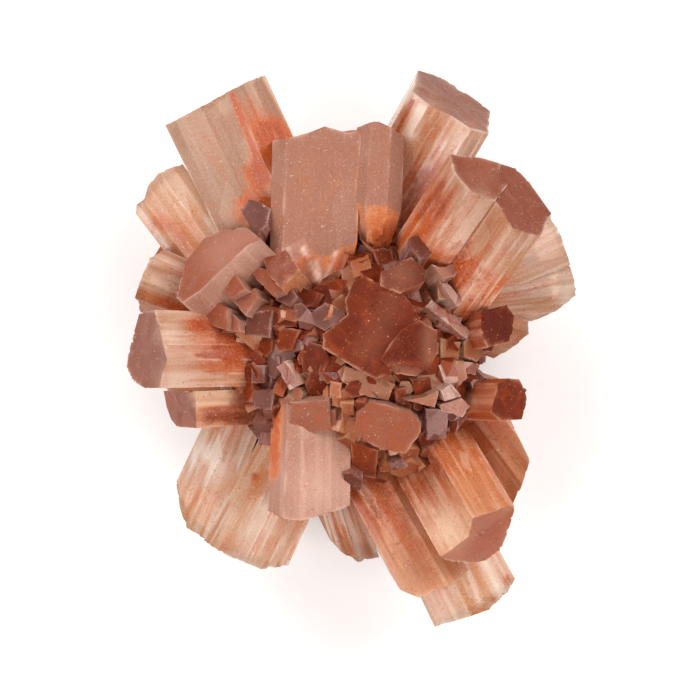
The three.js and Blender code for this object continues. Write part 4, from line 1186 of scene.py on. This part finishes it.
@dataclass
class MoundFillers:
    """Bits of crystal in the gaps of the mound, set by a sunflower spiral just under its surface.

    Attributes:
        count: How many bits there are.
        reach: How far out the spiral goes.
        sunk: How far the bits lie under the surface of the mound, from and to.
        across: Their width, from and to.
        flattened: How wide they are one way beside the other, from and to.
        length: From the tip back.
        sway: How far they point past the way out from the heart.
        gaps: Holes between the crystals where the bits lie deeper: the middle and the radius.
        gap_depth: How much deeper.
        kinds: Their finishes in turn.
        seed: The start of the random numbers.
    """

    count: int = 210
    reach: float = 13.2
    sunk: tuple[float, float] = (0.3, 1.4)
    across: tuple[float, float] = (1.4, 3.4)
    flattened: tuple[float, float] = (0.55, 1.2)
    length: float = 5.0
    sway: float = 3.6
    gaps: tuple[Place, ...] = (
        (-4.1, 5.2, 1.7), (-3.3, 8.1, 2.3), (2.9, 9.9, 0.9), (6.7, 3.9, 0.8), (-0.9, -1.9, 0.8),
        (-10.4, 0.6, 1.0),
    )
    gap_depth: float = 5.0
    kinds: tuple[Kind, ...] = (RUST, DARK, LILAC, DARK, TAWNY, DARK, RUST)
    seed: int = 33

    def crystals(self) -> list[Crystal]:
        """Works out the bits.

        Returns:
            Crystals that point roughly away from the heart, each a little askew.
        """
        rng = np.random.default_rng(self.seed)
        made = []
        for i in range(self.count):
            away = self.reach * math.sqrt((i + 0.5) / self.count)
            angle = golden_turn(i)
            place = MOUND_MIDDLE + away * np.array([math.cos(angle), math.sin(angle)])
            in_gap = any(math.hypot(place[0] - x, place[1] - y) < size for x, y, size in self.gaps)
            height = MOUND_TOP - MOUND_FALL * away**2 - rng.uniform(*self.sunk) - self.gap_depth * in_gap
            tip = np.array([*place, height])
            axes = axes_of(*outwards(tip + rng.normal(size=3) * self.sway))
            section = hexagon(rng.uniform(*self.across), rng.uniform(0, 60))
            section[:, 0] *= rng.uniform(*self.flattened)
            made.append(Crystal(
                tip, axes, section, self.length, 0.85, self.kinds[i % len(self.kinds)],
                stripe=0.03, chip=0.12, root_tint_and_shade=4.0, rim=0.35,
            ))
        return made


# Crystals of the sides and the underside: tip, width across, finish, and whether they reach the floor.
LOWER = (
    ((-9.6, 10.6, 2), 8, HONEY, True),
    ((-9.8, -9.6, 2), 7.6, HONEY, True),
    ((12.2, 4.6, 2), 8, PINK, True),
    ((8.6, -12.4, 2), 7.4, HONEY, True),
    ((-12.6, 18.4, 8.6), 9, HONEY, False),
    ((-18.4, 9.4, 8), 8.4, RUST, False),
    ((-17.6, -1.6, 7), 9, HONEY, False),
    ((-12.8, -13.6, 6.6), 8.4, HONEY, False),
    ((-4.6, -14.8, 7), 8, RUST, False),
    ((7.4, -20, 7.6), 8.8, HONEY, False),
    ((13.4, -13, 8.4), 8.2, RUST, False),
    ((11.6, -1.4, 8.6), 5.6, DARK, False),
    ((18, 9, 9.4), 8.6, HONEY, False),
    ((10.6, 18.2, 8.6), 9, HONEY, False),
    ((-1.6, 18.8, 9.6), 9, PINK, False),
    ((3, 13.6, 3.2), 7.6, HONEY, False),
    ((-12.8, 1, 3), 7.4, PINK, False),
    ((-1, -12.8, 2.6), 7, PINK, False),
    ((13, -5.4, 4), 6.4, HONEY, False),
    ((-6.4, -1, 1.4), 6.2, DARK, False),
    ((-1.4, 6.4, 1.6), 6.6, RUST, False),
    ((8, 0.6, 2), 5.4, HONEY, False),
)
LOWER_ROOT = 0.62
LOWER_REACH = 0.8
FOOT_TIP = (1.5, -1.5, 0)
FOOT_ACROSS = 10.5


def planted(crystal: Crystal) -> Crystal:
    """The crystal moved straight up or down until its lowest corner is at height 0."""
    ends = np.column_stack([crystal.section, np.zeros(len(crystal.section))])
    lowest = float((crystal.tip + ends @ crystal.axes)[:, 2].min())
    return replace(crystal, tip=crystal.tip - np.array([0, 0, lowest]), chip=0.0)


def lower_crystals() -> list[Crystal]:
    """The crystals of the sides and the underside, pointing away from the heart, and the foot."""
    foot = np.array(FOOT_TIP, float)
    length = float(np.linalg.norm(foot - HEART)) * LOWER_REACH
    made = [Crystal(foot, axes_of(0, -90), hexagon(FOOT_ACROSS, 10), length, LOWER_ROOT, HONEY, chip=0.1)]
    for place, across, kind, reaches_floor in LOWER:
        tip = np.array(place, float)
        length = float(np.linalg.norm(tip - HEART)) * LOWER_REACH
        crystal = Crystal(tip, axes_of(*outwards(tip)), hexagon(across, 20), length, LOWER_ROOT, kind)
        made.append(planted(crystal) if reaches_floor else crystal)
    return made


@dataclass
class Fillers:
    """Small crystals that fill the gaps, spread evenly over the cluster by a spiral.

    Attributes:
        count: How many there are.
        upper_reach: How far from the heart the tips of the upper half are, from and to.
        lower_reach: The same for the lower half.
        across: Their width, from and to.
        length: From the tip back.
        flatten: The height of the ball that the tips lie on as a share of its width.
        floor: How far above the floor the lowest corners stay.
        kinds: Their finishes in turn.
        seed: The start of the stream of numbers.
        stream: The multiplier, the increment and the modulus of that stream.
    """

    count: int = 170
    upper_reach: tuple[float, float] = (9.6, 11.6)
    lower_reach: tuple[float, float] = (12.5, 16)
    across: tuple[float, float] = (1.6, 3.8)
    length: float = 8
    flatten: float = 0.85
    floor: float = 0.6
    kinds: tuple[Kind, ...] = (DARK, RUST, PINK, DARK, LILAC, RUST, HONEY)
    seed: int = 20
    stream: tuple[int, int, int] = (1664525, 1013904223, 2**32)

    def crystals(self) -> list[Crystal]:
        """Works out the small crystals.

        Returns:
            Crystals along a spiral of equal areas, each the golden angle on from the last.
        """
        numbers = self.numbers()
        made = []
        for i in range(self.count):
            rise = 1 - 2 * (i + 0.5) / self.count
            ring = math.sqrt(1 - rise * rise)
            angle = golden_turn(i)
            way = np.array([ring * math.cos(angle), ring * math.sin(angle), rise * self.flatten])
            low, high = self.upper_reach if rise > 0 else self.lower_reach
            reach = low + (high - low) * next(numbers)
            across = self.across[0] + (self.across[1] - self.across[0]) * next(numbers)
            turn = 60 * next(numbers)
            tip = HEART + way * reach
            tip[2] = max(tip[2], self.floor + across / 2)
            axes = axes_of(*outwards(tip))
            made.append(Crystal(
                tip, axes, hexagon(across, turn), self.length, 0.8, self.kinds[i % len(self.kinds)],
                stripe=0.04, chip=0.12,
            ))
        return made

    def numbers(self) -> Iterator[float]:
        """A repeatable stream of numbers from 0 to 1."""
        multiplier, increment, modulus = self.stream
        state = self.seed
        while True:
            state = (state * multiplier + increment) % modulus
            yield state / modulus


@dataclass(frozen=True)
class Studio:
    """A white table under soft light, seen from straight above through a long lens, in metres.

    Attributes:
        distance: From the camera to the middle of the cluster.
        middle_height: The height of that middle.
        view_width: How much the picture shows from side to side.
        sensor_width: The width of the camera's sensor in millimetres.
        aim: What the camera looks at.
        floor_size: The side of the board.
        floor_gap: How far the board lies below the cluster's foot.
        boxes: The heading and the power in watts of each softbox.
        box_size: The side of a softbox.
        box_distance: How far it is from the middle.
        box_rise: How far above level it is, in degrees.
        surround: The strength of the white surround.
    """

    distance: float = 1.0
    middle_height: float = 0.017
    view_width: float = 0.07
    sensor_width: float = 36.0
    aim: tuple[float, float] = (-0.0002, -0.0001)
    floor_size: float = 1.2
    floor_gap: float = 0.00002
    boxes: tuple[tuple[float, float], ...] = ((125, 2.4), (40, 2.7), (215, 2.4), (310, 2.3))
    box_size: float = 0.42
    box_distance: float = 0.6
    box_rise: float = 38
    surround: float = 0.2

    def build(self) -> None:
        """Makes the camera, the lights, the world and the floor."""
        data = bpy.data.cameras.new("camera")
        data.sensor_width = self.sensor_width
        data.lens = self.sensor_width * self.distance / self.view_width
        data.clip_end = 10.0
        camera = bpy.data.objects.new("camera", data)
        camera.location = (*self.aim, self.middle_height + self.distance)
        bpy.context.scene.collection.objects.link(camera)
        bpy.context.scene.camera = camera
        for heading, power in self.boxes:
            self.light(heading, power)
        self.world()
        self.floor()
        bpy.context.scene.view_settings.view_transform = "Standard"

    def light(self, heading: float, power: float) -> None:
        """Adds a softbox that faces the cluster from one side.

        Args:
            heading: Degrees from +X, seen from above.
            power: Its power in watts.
        """
        data = bpy.data.lights.new(f"softbox_{heading:.0f}", "AREA")
        data.size = self.box_size
        data.energy = power
        lamp = bpy.data.objects.new(data.name, data)
        h, e = math.radians(heading), math.radians(self.box_rise)
        way = np.array([math.cos(e) * math.cos(h), math.cos(e) * math.sin(h), math.sin(e)])
        lamp.location = way * self.box_distance
        lamp.rotation_euler = (math.pi / 2 - e, 0, h + math.pi / 2)
        bpy.context.scene.collection.objects.link(lamp)

    def world(self) -> None:
        """A plain white surround."""
        world = bpy.data.worlds.new("surround")
        world.use_nodes = True
        shade = world.node_tree.nodes["Background"]
        shade.inputs["Color"].default_value = (1, 1, 1, 1)
        shade.inputs["Strength"].default_value = self.surround
        bpy.context.scene.world = world

    def floor(self) -> None:
        """A matt white board."""
        half = self.floor_size / 2
        mesh = bpy.data.meshes.new("floor")
        down = -self.floor_gap
        corners = [(-half, -half, down), (half, -half, down), (half, half, down), (-half, half, down)]
        mesh.from_pydata(corners, [], [(0, 1, 2, 3)])
        board = bpy.data.objects.new("floor", mesh)
        paint = bpy.data.materials.new("matt_white_board")
        paint.use_nodes = True
        shader = paint.node_tree.nodes["Principled BSDF"]
        shader.inputs["Base Color"].default_value = linear("#FBFAF9")
        shader.inputs["Roughness"].default_value = 0.9
        mesh.materials.append(paint)
        bpy.context.scene.collection.objects.link(board)


def heart_piece() -> bpy.types.Object:
    """The middle where everything has grown together: a ball drawn out to its radii, hidden inside, whose
    darkest finish is painted shade where it shows through the gaps.
    """
    rings, around = 11, 24
    rise = np.linspace(-math.pi / 2, math.pi / 2, rings + 2)[1:-1]
    turn = np.arange(around) / around * 2 * math.pi
    down, across = (grid.ravel() for grid in np.meshgrid(rise, turn, indexing="ij"))
    ball = np.column_stack([np.cos(down) * np.cos(across), np.cos(down) * np.sin(across), np.sin(down)])
    points = np.vstack([ball, [0, 0, 1], [0, 0, -1]]) * HEART_RADII + HEART
    known = {label: np.zeros(len(points)) for label in LABELS}
    known |= {"grain": points.copy(), "depth": np.full(len(points), HEART_DEPTH)}
    surface = Surface(points, *closed_faces(rings, around), known)
    return to_object("grown_together_middle", surface, [DARK], np.zeros(len(points), int))


def main() -> None:
    """Builds the cluster and the studio."""
    logging.basicConfig(level=logging.INFO, format="%(message)s")
    Studio().build()
    pieces = LargeCrystals().build()
    pieces += SmallCrystals("mound_crystals", mound_crystals()).build()
    pieces += SmallCrystals("mound_filling", MoundFillers().crystals(), seed=701).build()
    pieces += SmallCrystals("lower_crystals", lower_crystals(), seed=301).build()
    pieces += SmallCrystals("filling_crystals", Fillers().crystals(), 0.38, 501).build()
    pieces.append(heart_piece())
    for piece in pieces:
        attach(piece, "root")
        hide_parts(CLUSTER)
        LOG.info("%s: %d faces", piece.name, len(piece.data.polygons))


if __name__ == "__main__":
    main()
